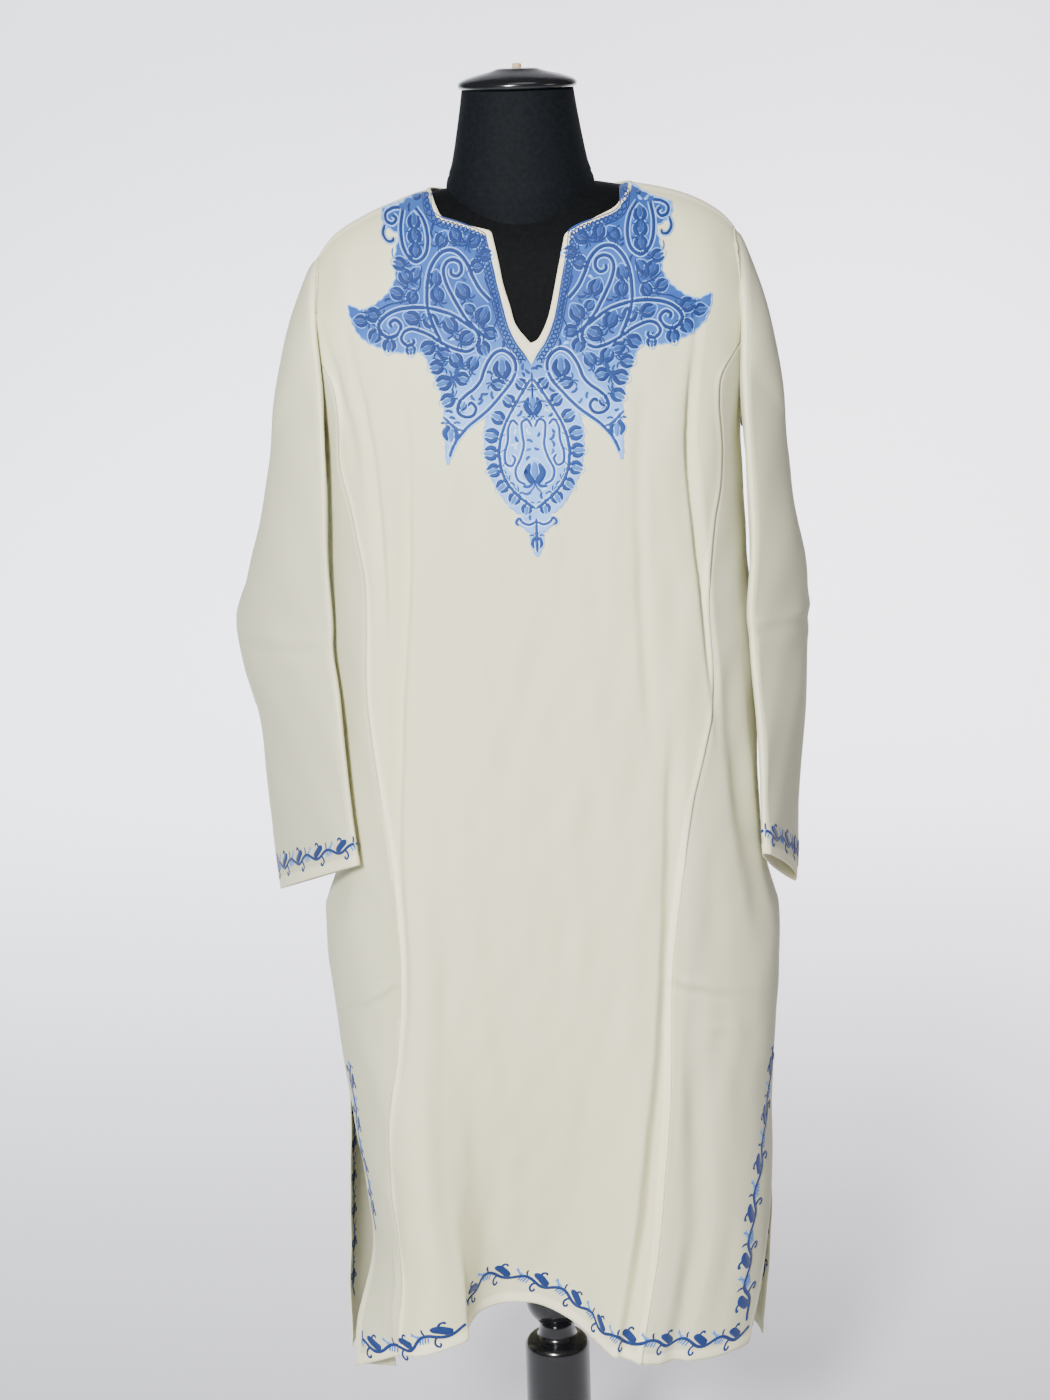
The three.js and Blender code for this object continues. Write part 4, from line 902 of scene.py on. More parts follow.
def buildGore(side, hand, material):
    bm = bmesh.new()
    layGrid(bm, gore["across"], gore["down"], gorePlace(side, hand), gore["cuts"][side, hand][:2])
    bmesh.ops.recalc_face_normals(bm, faces=bm.faces)
    faceAway(bm)
    piece = makePiece(f"{side}_gore_{hand}_cloth", bm, material, panel["wall"])
    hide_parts(f"{side}_gore_{hand}")


# Sleeves: rings from the armhole to the cuff, between a pressed ridge in front and a fold at the back.
sleeve = {
    "wall": 1.3, "around": 132, "down": 250, "ridgeHalf": 3, "gap": -0.4, "rootGap": 0.8,
    "clearance": 0.8, "ridgeInward": 6, "root": (150, 0, 1280),
    "perRing": 45,  # millimetres from one ring of the tables to the next, near the cuff
    "hemRings": 0.28,  # the cuff's hem, in rings
    "cuts": {"left": (0.37, 0.66, 0.176), "right": (0.36, 0.68, 0.175)},
}
sleeveRings = len(sleeveTables["left"]["keys"])


def armholePoint(sign, degrees):
    share = (1 - np.cos(np.radians(degrees))) / 2
    z = blend(armholeZ(sign, np.zeros_like(degrees)), dress["armpitZ"], share)
    x = armholeX(sign, z)
    back = clothPoint("back", qAt("back", x, z), z)
    front = clothPoint("front", qAt("front", x, z), z)
    return np.where((degrees % 360 <= 180)[..., None], back, front)


def readRing(hand, name, ring):
    return smoothCurve(np.arange(1.0, sleeveRings + 1), sleeveTables[hand][name], ring)


def ringEnds(hand, ring):
    # the ring's front ridge, and its fold at the back
    for end in ("ridge", "back"):
        yield np.stack([readRing(hand, end + axis, ring) for axis in "XYZ"], axis=-1)


def sleeveMiddle(hand, sign, ring):
    ridge, back = ringEnds(hand, ring)
    rootX, rootY, rootZ = sleeve["root"]
    early = np.clip(1 - ring, 0, 1)[..., None]
    return blend((ridge + back) / 2, np.array([sign * rootX, rootY, rootZ]), early)


# Creases across the bent elbow and small waves down the arm, in millimetres out of the sleeve.
elbow = {
    "ring": {"left": 7.35, "right": 7.2}, "lean": 0.22,
    # each crease: its shift in rings, height and width
    "creases": [(0.0, 0.9, 0.13), (0.34, -0.9, 0.14), (0.68, 0.5, 0.14), (-0.42, -0.4, 0.18)],
}
# How far the doubled cuff stands out, and over how many rings its edge rises and changes colour.
cuffHem = {"height": 0.45, "rise": 0.04, "tint": 0.06}


def sleeveRelief(hand, ring, degrees):
    around = np.radians(degrees)
    lift = 0.5 * np.sin(3 * around + ring * 1.7) * np.sin(ring * 2.3 + 0.6)
    lift = lift + 0.35 * np.sin(7 * around + ring * 3.1)
    outside = np.clip(np.sin(around) * 1.2 if hand == "left" else 0.4 + np.sin(around), 0, 1)
    for shift, height, wide in elbow["creases"]:
        away = ring - elbow["ring"][hand] - shift - elbow["lean"] * np.cos(around)
        lift = lift + height * outside * np.exp(-((away / wide) ** 2))
    hemTop = sleeveRings - sleeve["hemRings"]
    hem = smoothStep(hemTop, hemTop + cuffHem["rise"], ring)
    return lift * smoothStep(0.6, 1.6, ring) * (1 - 0.7 * hem) + cuffHem["height"] * hem


def sleevePoint(hand, ring, degrees, lift=0.0):
    sign = -1 if hand == "left" else 1
    ring, degrees = np.broadcast_arrays(np.asarray(ring, dtype=float), np.asarray(degrees, dtype=float))
    ridge, back = ringEnds(hand, ring)
    # from the armpit down the front ridge hangs a little over the edge of the body
    inward = sign * sleeve["ridgeInward"] * smoothStep(2.0, 3.4, ring)
    ridge[..., 0] -= inward * smoothStep(10.5, 8.0, ring)
    below, above = np.minimum(ring + 0.6, sleeveRings), ring - 0.6
    way = sleeveMiddle(hand, sign, below) - sleeveMiddle(hand, sign, above)
    across = ridge - back
    outward = unit(np.cross(across, way)) * sign
    cosine, sine = np.cos(np.radians(degrees)), np.sin(np.radians(degrees))
    swell = np.where(sine > 0, readRing(hand, "outer", ring), readRing(hand, "inner", ring)) * sine
    swell = swell * np.abs(sine) ** (0.7 * smoothStep(1.5, 4, ring))  # pressed flat towards both folds
    blunt = sleeve["ridgeHalf"] * np.clip(sine * 4, -1, 1) * (1 + cosine) / 2
    relief = sleeveRelief(hand, ring, degrees) + lift
    push = swell + blunt + relief * np.sign(sine) * np.minimum(1, np.abs(sine) * 3)
    atFolds = relief * cosine * np.maximum(0, np.abs(cosine) - 0.6) / np.linalg.norm(across, axis=-1)
    ends = across * (cosine / 2 + atFolds)[..., None]
    point = (ridge + back) / 2 + ends + outward * push[..., None]
    # the first ring lies along the armhole, and the next ones come free of it
    begun = np.clip(ring, 0, 1)
    start = armholePoint(sign, degrees)
    start[..., 0] += sign * blend(sleeve["gap"], sleeve["rootGap"], begun)
    freed = np.where(ring < 1, begun * sleeveTables[hand]["freed"][0], readRing(hand, "freed", ring))
    point = blend(start, point, freed[..., None])
    least = np.abs(armholeX(sign, point[..., 2])) + sleeve["clearance"] * begun
    # the front ridge may hang over the edge of the body, the rest may not
    over = smoothStep(1345, 1265, point[..., 2]) * smoothStep(-34, -58, point[..., 1])
    least = least - sleeve["ridgeInward"] * over
    close = (point[..., 2] > dress["armpitZ"] - 30) & (np.abs(point[..., 0]) < least)
    point[..., 0] = np.where(close, sign * least, point[..., 0])
    return point * mm + np.array([standX, 0, 0])


def buildSleeve(hand, material):
    def place(s, t):
        ring, degrees = sleeveRings * t, 360 * s
        # painted highlight: a narrow lighter strip down the front ridge, in the cloth's doubled colour
        ridge = smoothStep(9, 5, np.minimum(degrees, 360 - degrees)) * smoothStep(0.2, 1.0, ring)
        hemTop = sleeveRings - sleeve["hemRings"]
        hem = smoothStep(hemTop, hemTop + cuffHem["tint"], ring)
        return sleevePoint(hand, ring, degrees), np.maximum(ridge, hem)

    bm = bmesh.new()
    layGrid(bm, sleeve["around"], sleeve["down"], place, sleeve["cuts"][hand][:2])
    bmesh.ops.remove_doubles(bm, verts=bm.verts, dist=0.00005)
    bm.normal_update()
    centre = sleeveMiddle(hand, -1 if hand == "left" else 1, np.array([10.0]))[0] * mm
    outward = sum(
        face.normal.dot(face.calc_center_median() - Vector((centre[0] + standX, centre[1], centre[2])))
        for face in bm.faces if abs(face.calc_center_median().z - centre[2]) < 0.01
    )
    if outward < 0:
        bmesh.ops.reverse_faces(bm, faces=bm.faces)
    piece = makePiece(f"sleeve_{hand}_cloth", bm, material, sleeve["wall"])
    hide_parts(f"sleeve_{hand}")


# Binding: a folded strip round the neck and down both sides of the split, over the raw edge.
binding = {"flat": (0.018, 0.72), "stations": 90, "width": 0.72, "footWidth": 1.2, "section": [
    (1.0, -0.2), (0.96, 0.7), (0.7, 1.05), (0.35, 1.1), (0.05, 0.85), (-0.12, 0.1), (-0.14, -0.8),
    (-0.02, -1.7), (0.35, -2.1), (0.8, -2.0), (1.0, -1.4),
]}


# Places round the opening, up the left of the split, round the back and down the right: the raw edge, the
# line on the cloth that the binding reaches, and the direction out. A run gives both as x and drop.
def bindingStations(count):
    def station(side, edge, over):
        heights = [shoulderHeight(x) - drop for x, drop in (edge, over)]
        point, out = onCloth(side, qAt(side, edge[0], heights[0]), heights[0])
        return point, onCloth(side, qAt(side, over[0], heights[1]), heights[1])[0], out

    def frontRun(hand, sign, rows):
        x, drop = readNeck(hand + "X", rows), readNeck(hand + "Drop", rows)
        foot = smoothStep(neckLastRow - 1, neckLastRow, rows)
        share = blend(binding["width"], binding["footWidth"], foot)
        over = x + sign * readNeck("across", rows) * share, drop + readNeck("down", rows) * share
        return station("front", (x, drop), over)

    def backLine(share):
        turn = np.linspace(0, math.pi, count)[1:-1]
        half = blend(backNeck["openHalf"], backNeck["panelHalf"], share)
        drop = blend(backNeck["openDrop"], backNeck["panelDrop"], share) * (1 - np.abs(np.cos(turn)) ** 4)
        return backNeck["middle"] - half * np.cos(turn), drop

    rows = np.linspace(neckLastRow, 0, count)
    runs = [
        frontRun("left", -1, rows), station("back", backLine(0), backLine(binding["width"])),
        frontRun("right", 1, rows[::-1]),
    ]
    return [np.concatenate(parts) for parts in zip(*runs)]


def buildBinding(material):
    edge, over, out = bindingStations(binding["stations"])
    keep = np.concatenate([[True], np.linalg.norm(np.diff(edge, axis=0), axis=1) > 0.0008])
    edge, over, out = edge[keep], over[keep], out[keep]
    out = unit(out + np.roll(out, 1, axis=0) * 0.5 + np.roll(out, -1, axis=0) * 0.5)
    section = binding["section"] + [binding["section"][0]]
    bm = bmesh.new()
    stations = len(edge) - 1

    def place(s, t):
        i = np.round(t * stations).astype(int)
        k = np.round(s * (len(section) - 1)).astype(int)
        shares = np.array(section)[k]
        return edge[i] + (over[i] - edge[i]) * shares[:, :1] + out[i] * shares[:, 1:] * mm

    layGrid(bm, len(section) - 1, stations, place, binding["flat"])
    bmesh.ops.remove_doubles(bm, verts=bm.verts, dist=0.0003)
    bmesh.ops.recalc_face_normals(bm, faces=bm.faces)
    piece = makePiece("neck_binding_strip", bm, material)
    rounded = piece.modifiers.new("rounded", "SUBSURF")
    rounded.levels = 1
    rounded.render_levels = 1
    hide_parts("neck_binding")


buildFrontPanel(creamCotton)
buildBackPanel(creamCotton)
print("panels built")
for side, hand in gore["cuts"]:
    buildGore(side, hand, shadedSideCotton)
print("gores built")
for hand in sleeve["cuts"]:
    buildSleeve(hand, shadedSideCotton)
buildBinding(tapeCotton)
print("sleeves and binding built")


# Crewel wool embroidery. Every motif is laid out flat, in millimetres, and then carried onto the cloth.
thread = {
    "spacing": 1.7, "around": 8, "sunk": 0.4, "height": 0.75,
    "shades": [(0.0, "#152f68"), (0.25, "#244b93"), (0.5, "#477cc8"), (0.75, "#82b2f4"), (1.0, "#bddafe")],
    "stitch": 0.0026, "girth": 0.004,  # one chain stitch and once round the thread, in metres
}


# Twisted wool in chain stitch: small plump links along each line, matt, with a soft halo of fibre. A
# filling is many rows of stitches side by side.
def makeWool(name, filling):
    material, tree, surface = newMaterial(name)
    place = addNode(tree, "UVMap", uv_map="UVMap").outputs["UV"]
    shade = addNode(tree, "Attribute", attribute_name="shade").outputs["Fac"]
    uneven = (6.0, 2.0, 0.25) if filling else (1.5, 1.0, 0.6)
    links = {"Vector": place, "Scale": waveSpan / thread["stitch"]}
    links.update(zip(("Distortion", "Detail", "Detail Scale"), uneven))
    run = "DIAGONAL" if filling else "Y"
    stitches = addNode(tree, "TexWave", links, bands_direction=run).outputs["Fac"]
    fibre = addNode(tree, "TexNoise", {"Vector": place, "Scale": 900.0, "Detail": 2.0}).outputs["Fac"]
    height = addNode(tree, "Math", {0: stitches, 1: fibre}, operation="ADD").outputs["Value"]
    bump = addNode(tree, "Bump", {"Height": height, "Strength": 0.45, "Distance": 0.0008})
    # painted light and shade: each chain link is coloured lighter on its crest and darker between links
    linkLightAndShade = addNode(tree, "MapRange", {"Value": stitches, "To Min": -0.14, "To Max": 0.14})
    shaded = addNode(tree, "Math", {0: shade, 1: linkLightAndShade.outputs["Result"]}, operation="ADD")
    tone = addNode(tree, "ValToRGB", {"Fac": shaded.outputs["Value"]}, thread["shades"])
    setInputs(tree, surface, {
        "Base Color": tone.outputs["Color"], "Normal": bump.outputs["Normal"], "Roughness": 0.72,
        "Specular IOR Level": 0.3, "Sheen Weight": 0.25, "Sheen Roughness": 0.4,
    })
    return material


blueWool = makeWool("blue crewel wool", False)
groundWool = makeWool("blue crewel wool filling", True)


def runLength(path):
    return np.concatenate([[0], np.cumsum(np.linalg.norm(np.diff(path, axis=0), axis=1))])


def leftOf(path):
    way = unit(np.gradient(path, axis=0))
    return np.stack([-way[:, 1], way[:, 0]], axis=-1)


def smoothPath(points, spacing):
    points = np.array(points, dtype=float)
    keys = runLength(points)
    at = np.linspace(0, keys[-1], max(4, round(keys[-1] / spacing)) + 1)
    return np.stack([smoothCurve(keys, column, at) for column in points.T], axis=-1)


# One line of stitches: width across, height above its bed, tapers at both ends, all in millimetres.
def stroke(points, width, shade, bed=0.0, height=None, taper=(1.5, 1.5), shift=0.0, spacing=None):
    path = smoothPath(points, spacing or thread["spacing"])
    side = leftOf(path)
    path = path + side * shift
    run = runLength(path)
    ends = np.minimum(run / taper[0], (run[-1] - run) / taper[1])
    rounded = np.sqrt(1 - (1 - np.clip(ends, 0, 1)) ** 2)
    return {
        "path": path, "side": side, "run": run, "half": width / 2 * rounded, "shade": shade, "bed": bed,
        "height": (height or thread["height"]) * np.minimum(1, rounded + 0.2),
    }


def mirrored(strokes, sign):
    flip = np.array([sign, 1])
    return [{**line, "path": line["path"] * flip, "side": line["side"] * flip} for line in strokes]


def layStrokes(name, strokes, carry, material):
    bm = bmesh.new()
    weave = bm.loops.layers.uv.verify()
    shading = bm.verts.layers.float.new("shade")
    laid, flats = [], []
    for line in strokes:
        steps = len(line["path"]) - 1
        verts = bmesh.ops.create_grid(bm, x_segments=thread["around"], y_segments=steps, size=0.5)["verts"]
        s = np.array([vert.co.x for vert in verts]) + 0.5
        i = np.round((0.5 - np.array([vert.co.y for vert in verts])) * steps).astype(int)
        around = 2 * math.pi * s
        flat = line["path"][i] + line["side"][i] * (line["half"][i] * np.cos(around))[:, None]
        rise = np.where(np.sin(around) > 0, line["height"][i], thread["sunk"]) * np.sin(around)
        flats.append(np.column_stack([flat, line["bed"] + rise]))
        laid.append((verts, s, line["run"][i], line["shade"]))
    flat = np.concatenate(flats)
    points = carry(flat[:, 0], flat[:, 1], flat[:, 2])
    start = 0
    for verts, s, run, shade in laid:
        end = start + len(verts)
        places = zip(s * thread["girth"], run * mm)
        settle(verts, points[start:end], [shade] * len(verts), places, weave, shading)
        start = end
    bmesh.ops.remove_doubles(bm, verts=bm.verts, dist=0.00001)
    bmesh.ops.recalc_face_normals(bm, faces=bm.faces)
    piece = makePiece(name, bm, material)


# The yoke: its outline from the shoulder round to the point below the pendant, then the neck edge.
yoke = {
    "outline": [
        (91, 1417), (100, 1412), (110.5, 1406), (120, 1402), (129, 1399), (128, 1390), (122, 1385),
        (114, 1380), (116, 1370), (117, 1362), (117, 1352), (118, 1343), (124, 1333), (133, 1325),
        (145, 1318), (152, 1318), (160, 1321), (159, 1310), (153, 1297), (145, 1290), (136, 1286),
        (126, 1283), (117, 1281), (106, 1282), (96, 1281), (91, 1272), (87, 1264), (84, 1256), (81, 1248),
        (79, 1237), (78, 1226), (78, 1205), (77, 1184), (71, 1197), (64, 1210), (53, 1218), (41, 1224.5),
        (43, 1214), (43.5, 1203), (42, 1186), (38, 1170), (32, 1158), (25, 1147), (18, 1140),
        (11.5, 1136.5), (14, 1128), (10, 1124), (6, 1120), (5, 1108), (0, 1098),
    ],
    "neck": [
        (84, 1414), (82, 1400), (75.5, 1395), (67, 1392.3), (54, 1388.3), (42.5, 1384.2), (36, 1380),
        (34.5, 1372), (32.3, 1360), (25.5, 1328), (22, 1312), (18, 1298), (12, 1286), (6, 1278), (0, 1268),
    ],
    "scallop": {"pitch": 7.5, "depth": 1.3},
    "bolder": 1.2, "budScale": 1.16,
    "edging": {"from": 2.1, "gap": 0.8, "width": 1.2, "shade": 0.98},
    "braid": {
        "fromMiddle": 2.2, "cords": [(1.0, 1.0, 0.25), (8.4, 1.2, 0.1)],
        "middle": 4.8, "swing": 2.3, "repeat": 8.0, "width": 1.5,
    },
    "lift": 0.75, "wall": 1.1, "cell": 4.0, "rightScale": 1.01,
    # each line: width, shade and its places
    "lines": [
        # shoulder paisley and tab
        (2.3, 0.0, [
            (110, 1401), (112, 1385), (109, 1368), (100, 1358), (91, 1363), (88, 1376), (91, 1391),
            (99, 1402),
        ]),
        (2.0, 0.1, [
            (113, 1402), (120, 1401), (126, 1397), (125, 1391), (119, 1389), (116, 1393), (120, 1396),
        ]),
        (1.8, 0.1, [(126, 1389), (128, 1381), (124, 1375), (119, 1375), (119, 1379)]),
        (1.2, 0.5, [(119, 1370), (120, 1365), (118, 1360)]),
        # large paisley
        (2.4, 0.0, [
            (78, 1288), (83, 1298), (87, 1308), (90, 1320), (90, 1332), (89, 1343), (86, 1353), (81, 1361),
            (75, 1366), (68, 1367), (61, 1364), (54, 1356), (49, 1344), (43, 1333), (34, 1323),
        ]),
        (2.3, 0.05, [
            (40, 1292), (48, 1300), (56, 1308), (62, 1318), (68, 1329), (73, 1340), (75, 1350), (72, 1357),
            (66, 1359), (60, 1356), (59, 1349), (63, 1345), (68, 1347), (68, 1352),
        ]),
        # paisley of the wing
        (2.4, 0.0, [
            (49, 1284), (45, 1290), (47, 1297), (54, 1303), (70, 1313), (82, 1317), (94, 1319), (106, 1319),
            (118, 1317), (128, 1312), (134, 1304), (131, 1297), (125, 1294), (117, 1297), (114, 1304),
            (119, 1309), (124, 1306), (122, 1302),
        ]),
        (2.2, 0.05, [
            (49, 1284), (56, 1281), (63, 1282), (71, 1285), (79, 1289), (88, 1295), (97, 1299), (105, 1301),
            (112, 1298), (114, 1292), (109, 1287), (103, 1289), (104, 1293),
        ]),
        # lower paisley and its hook
        (2.3, 0.0, [
            (14, 1262), (14, 1270), (18, 1277), (25, 1281), (32, 1279), (38, 1272), (42, 1264), (45, 1256),
            (51, 1249), (58, 1244), (65, 1237), (66, 1229), (60, 1225), (53, 1226), (50, 1232), (54, 1237),
            (58, 1234),
        ]),
        (2.3, 0.0, [
            (14, 1262), (18, 1254), (24, 1247), (31, 1239), (40, 1230), (49, 1223), (57, 1217), (65, 1209),
            (71, 1200), (75, 1190),
        ]),
        (1.8, 0.1, [(80, 1226), (74, 1220), (68, 1215), (62, 1213)]),
        # stems between the motifs
        (1.4, 0.1, [(45, 1376), (52, 1372), (58, 1370), (66, 1372), (74, 1378), (82, 1383)]),
        (1.4, 0.1, [(117, 1343), (108, 1336), (98, 1334), (95, 1345), (94, 1355)]),
        (1.4, 0.1, [(98, 1334), (104, 1327), (113, 1324), (124, 1322), (136, 1317), (150, 1315)]),
        (1.4, 0.1, [(39, 1344), (36, 1335), (30, 1322), (28, 1310), (32, 1300), (31, 1288)]),
        (1.4, 0.1, [(52, 1276), (60, 1270), (66, 1262), (70, 1250), (72, 1236)]),
        (1.3, 0.1, [(60, 1270), (70, 1272), (80, 1274), (88, 1276)]),
        (1.3, 0.1, [(44, 1278), (50, 1268), (54, 1260), (60, 1252)]),
        (1.3, 0.1, [(46, 1364), (43, 1356), (38, 1352)]),
        # pendant
        (1.6, 0.05, [(0, 1262), (0, 1250), (0, 1238)]),
        (2.0, 0.0, [
            (1, 1256), (8, 1246), (15, 1235), (22, 1223), (28, 1209), (31, 1195), (30, 1181), (26, 1168),
            (18, 1157), (8, 1148), (0, 1142),
        ]),
        (1.8, 0.05, [
            (1, 1214), (5, 1221), (10, 1219), (10, 1209), (9, 1199), (12, 1188), (17, 1177), (15, 1168),
            (8, 1164),
        ]),
        (1.8, 0.05, [
            (13, 1216), (18, 1221), (22, 1215), (23, 1203), (26, 1192), (25, 1183), (20, 1181), (17, 1187),
            (20, 1191),
        ]),
        (1.6, 0.1, [(0, 1230), (5, 1237), (11, 1236)]),
        (1.8, 0.0, [(0, 1131), (6, 1128), (12, 1130), (15, 1134), (18, 1130), (15, 1127)]),
        (2.0, 0.05, [(0, 1134), (0, 1118), (0, 1102)]),
    ],
    # buds: place, half size, and the way they point in degrees from outward
    "buds": [
        (100, 1390, 4.6, 90), (99.5, 1378, 4.8, 80), (99.5, 1366, 4.6, 95), (76, 1375, 4.6, 120),
        (63, 1378, 4.4, 70), (48, 1374, 4.6, 150), (113, 1356, 4.4, 20), (108, 1345, 4.8, 60),
        (116, 1331, 4.2, 30), (103, 1327, 4.2, 100), (138, 1313, 5.0, 20), (149, 1308, 4.2, 0),
        (83, 1342, 4.8, 100), (81, 1329, 4.8, 80), (58, 1331, 5.0, 60), (42, 1310, 5.2, 120),
        (36, 1296, 4.4, 200), (42, 1284, 4.6, 250), (57, 1292, 5.0, 150), (70, 1303, 5.2, 60),
        (87, 1307, 5.0, 40), (103, 1310, 4.8, 20), (90, 1285, 4.8, 330), (77, 1280, 4.4, 200),
        (83, 1268, 4.6, 350), (66, 1273, 4.8, 60), (52, 1270, 4.4, 120), (77, 1255, 5.2, 340),
        (62, 1258, 4.6, 200), (74, 1240, 4.8, 330), (73, 1212, 5.4, 270), (26, 1264, 6.0, 90),
        (31, 1252, 4.2, 200), (52, 1316, 3.6, 40), (38, 1362, 4.4, 180), (46, 1353, 4.6, 160),
        (100, 1347, 4.0, 120), (137, 1296, 4.6, 300), (125, 1288, 4.6, 280), (106, 1284, 3.6, 270),
        (9, 1251, 4.0, 45), (20, 1237, 4.4, 40), (30, 1223, 4.6, 30), (36, 1208, 5.0, 10),
        (37, 1193, 5.0, 0), (35, 1178, 4.8, -20), (28, 1164, 4.6, -40), (18, 1153, 4.4, -60),
        (8, 1143, 3.8, -80), (62, 1234, 3.0, 120), (0, 1173, 7.0, 90), (0, 1232, 6.0, 90),
        (0, 1112, 4.2, 270),
    ],
    "fillers": {
        "tries": 2800, "across": (2, 158), "up": (1112, 1412), "apart": 4.2, "clear": 2.5, "budClear": 6.9,
        "length": (5.0, 8.5), "width": 2.6, "bends": (-0.35, 0.35), "shades": (0.15, 0.2, 0.25, 0.35, 0.95),
    },
}


def sideOutline(part):
    # the outer edge is worked in small scallops
    if part == "neck":
        return smoothPath(yoke["neck"], 3.0)
    path = smoothPath(yoke["outline"], 1.8)
    run = runLength(path)
    wave = np.abs(np.sin(math.pi * run / yoke["scallop"]["pitch"])) - 0.5
    hold = smoothStep(0, 20, run) * smoothStep(run[-1], run[-1] - 6, run)
    return path + leftOf(path) * (wave * hold * yoke["scallop"]["depth"])[:, None]


def onYoke(u, v, lift):
    x = dress["centreX"] + u * np.where(u > 0, yoke["rightScale"], 1)
    z = np.minimum(v, shoulderHeight(x) - 1.2)
    return onCloth("front", qAt("front", x, z), z, lift)[0]


def groundShade(u, v):
    # lighter towards the pendant, and slowly uneven
    return 0.41 + 0.45 * smoothStep(1320, 1215, v) + 0.04 * np.sin(u * 0.11) * np.sin(v * 0.09)


def buildYokeGround():
    outer, inner = sideOutline("outline"), sideOutline("neck")
    # the two sides share the neck point and the tip
    loop = np.concatenate([outer * (-1, 1), outer[-2::-1], inner[:-1], inner[::-1] * (-1, 1)])
    bm = bmesh.new()
    verts = [bm.verts.new((u, v, 0)) for u, v in loop]
    edges = [bm.edges.new((a, b)) for a, b in zip(verts, verts[1:] + verts[:1])]
    bmesh.ops.triangle_fill(bm, use_beauty=True, use_dissolve=False, edges=edges)
    # cut into cells, so that it bends with the cloth
    for axis, low, high in ((0, -164, 164), (1, 1096, 1420)):
        for at in np.arange(low, high, yoke["cell"]):
            point, normal = [0, 0, 0], [0, 0, 0]
            point[axis], normal[axis] = at, 1
            bmesh.ops.bisect_plane(
                bm, geom=bm.verts[:] + bm.edges[:] + bm.faces[:], dist=0.02, plane_co=point, plane_no=normal
            )
    weave = bm.loops.layers.uv.verify()
    shading = bm.verts.layers.float.new("shade")
    bm.verts.ensure_lookup_table()
    u, v = np.array([vert.co.x for vert in bm.verts]), np.array([vert.co.y for vert in bm.verts])
    points = onYoke(u, v, yoke["lift"])
    settle(bm.verts, points, groundShade(u, v), zip(u * mm, v * mm), weave, shading)
    bm.normal_update()
    if sum(face.normal.y for face in bm.faces) > 0:
        bmesh.ops.reverse_faces(bm, faces=bm.faces)
    piece = makePiece("yoke_ground", bm, groundWool, yoke["wall"])


# A bud: a cupped dark flower with a lighter heart, a pale rim in front and a short stem behind.
def bud(x, y, size, degrees):
    way = np.array([math.cos(math.radians(degrees)), math.sin(math.radians(degrees))])
    across = np.array([-way[1], way[0]])
    at = np.array([x, y], dtype=float)

    def line(*places):
        return [at + way * a * size + across * b * size for a, b in places]

    bed = yoke["lift"]
    heart, stem = line((-0.5, 0), (0.3, 0.02), (1.4, 0)), line((-0.8, 0), (-1.4, 0.15), (-2.0, 0.65))
    rimHalf = [(-0.75, 1.05), (0.1, 1.3), (0.9, 0.98)]
    rim = line(*rimHalf, (1.75, 0.05), *((a, -b) for a, b in reversed(rimHalf)))
    strokes = [
        stroke(heart, size * 0.66, 0.42, bed + 0.1, 0.5, (size * 0.4, size * 1.0), spacing=1.2),
        stroke(stem, 1.4, 0.12, bed, 0.6, (1.2, 1.2), spacing=1.4),
        stroke(rim, 0.9, 0.9, bed, 0.45, (1.2, 1.2), spacing=1.5),
    ]
    for turn in (-1, 1):
        # one pointed petal each side of the heart, and a small leaf below it
        petal = line((-1.0, 0.04 * turn), (-0.5, 0.55 * turn), (0.25, 0.86 * turn), (1.25, 0.5 * turn))
        strokes.append(stroke(petal, size * 0.74, 0.08, bed, 0.65, (size * 0.5, size * 1.1), spacing=1.3))
        leaf = line((-1.0, 0.2 * turn), (-1.35, 0.8 * turn), (-1.2, 1.45 * turn))
        strokes.append(stroke(leaf, size * 0.34, 0.2, bed, 0.55, (1.0, 2.0), spacing=1.4))
    return strokes


def insideOutline(polygon, x, y):
    startX, startY = polygon.T
    endX, endY = np.roll(polygon, -1, axis=0).T
    crossing = (startY > y) != (endY > y)
    at = startX + (y - startY) / np.where(crossing, endY - startY, 1) * (endX - startX)
    return np.count_nonzero(crossing & (x < at)) % 2 == 1


def gapTo(places, x, y):
    return np.min(np.hypot(*(np.array(places) - (x, y)).T))


# Stems and paisleys with a pale edging on both sides of the bold ones, then the buds, and a pale cord
# round the outer edge.
def yokeMotifs():
    bed, edging = yoke["lift"], yoke["edging"]
    strokes = []
    for width, shade, points in yoke["lines"]:
        width *= yoke["bolder"]
        strokes.append(stroke(points, width, shade + 0.12, bed, taper=(3, 3)))
        if width > edging["from"]:
            for shift in (-(width / 2 + edging["gap"]), width / 2 + edging["gap"]):
                strokes.append(stroke(points, edging["width"], edging["shade"], bed, 0.55, shift=shift))
    for x, y, size, degrees in yoke["buds"]:
        strokes += bud(x, y, size * yoke["budScale"], degrees)
    strokes.append(stroke(sideOutline("outline"), 1.3, 0.80, bed - 0.3, 0.75))
    return strokes


# Along the neck edge two lines cross between two cords.
def neckBraid():
    bed, braid = yoke["lift"], yoke["braid"]
    line = smoothPath(yoke["neck"], 1.0)
    outward, run = leftOf(line), runLength(line)
    keep = line[:, 0] > braid["fromMiddle"]
    strokes = []
    for offset, width, shade in braid["cords"]:
        strokes.append(stroke((line + outward * offset)[keep], width, shade, bed, 0.6))
    for phase in (0, math.pi):
        wave = braid["middle"] + braid["swing"] * np.sin(2 * math.pi * run / braid["repeat"] + phase)
        crossing = (line + outward * wave[:, None])[keep]
        strokes.append(stroke(crossing, braid["width"], 0.05, bed, 0.7, spacing=1.0))
    return strokes


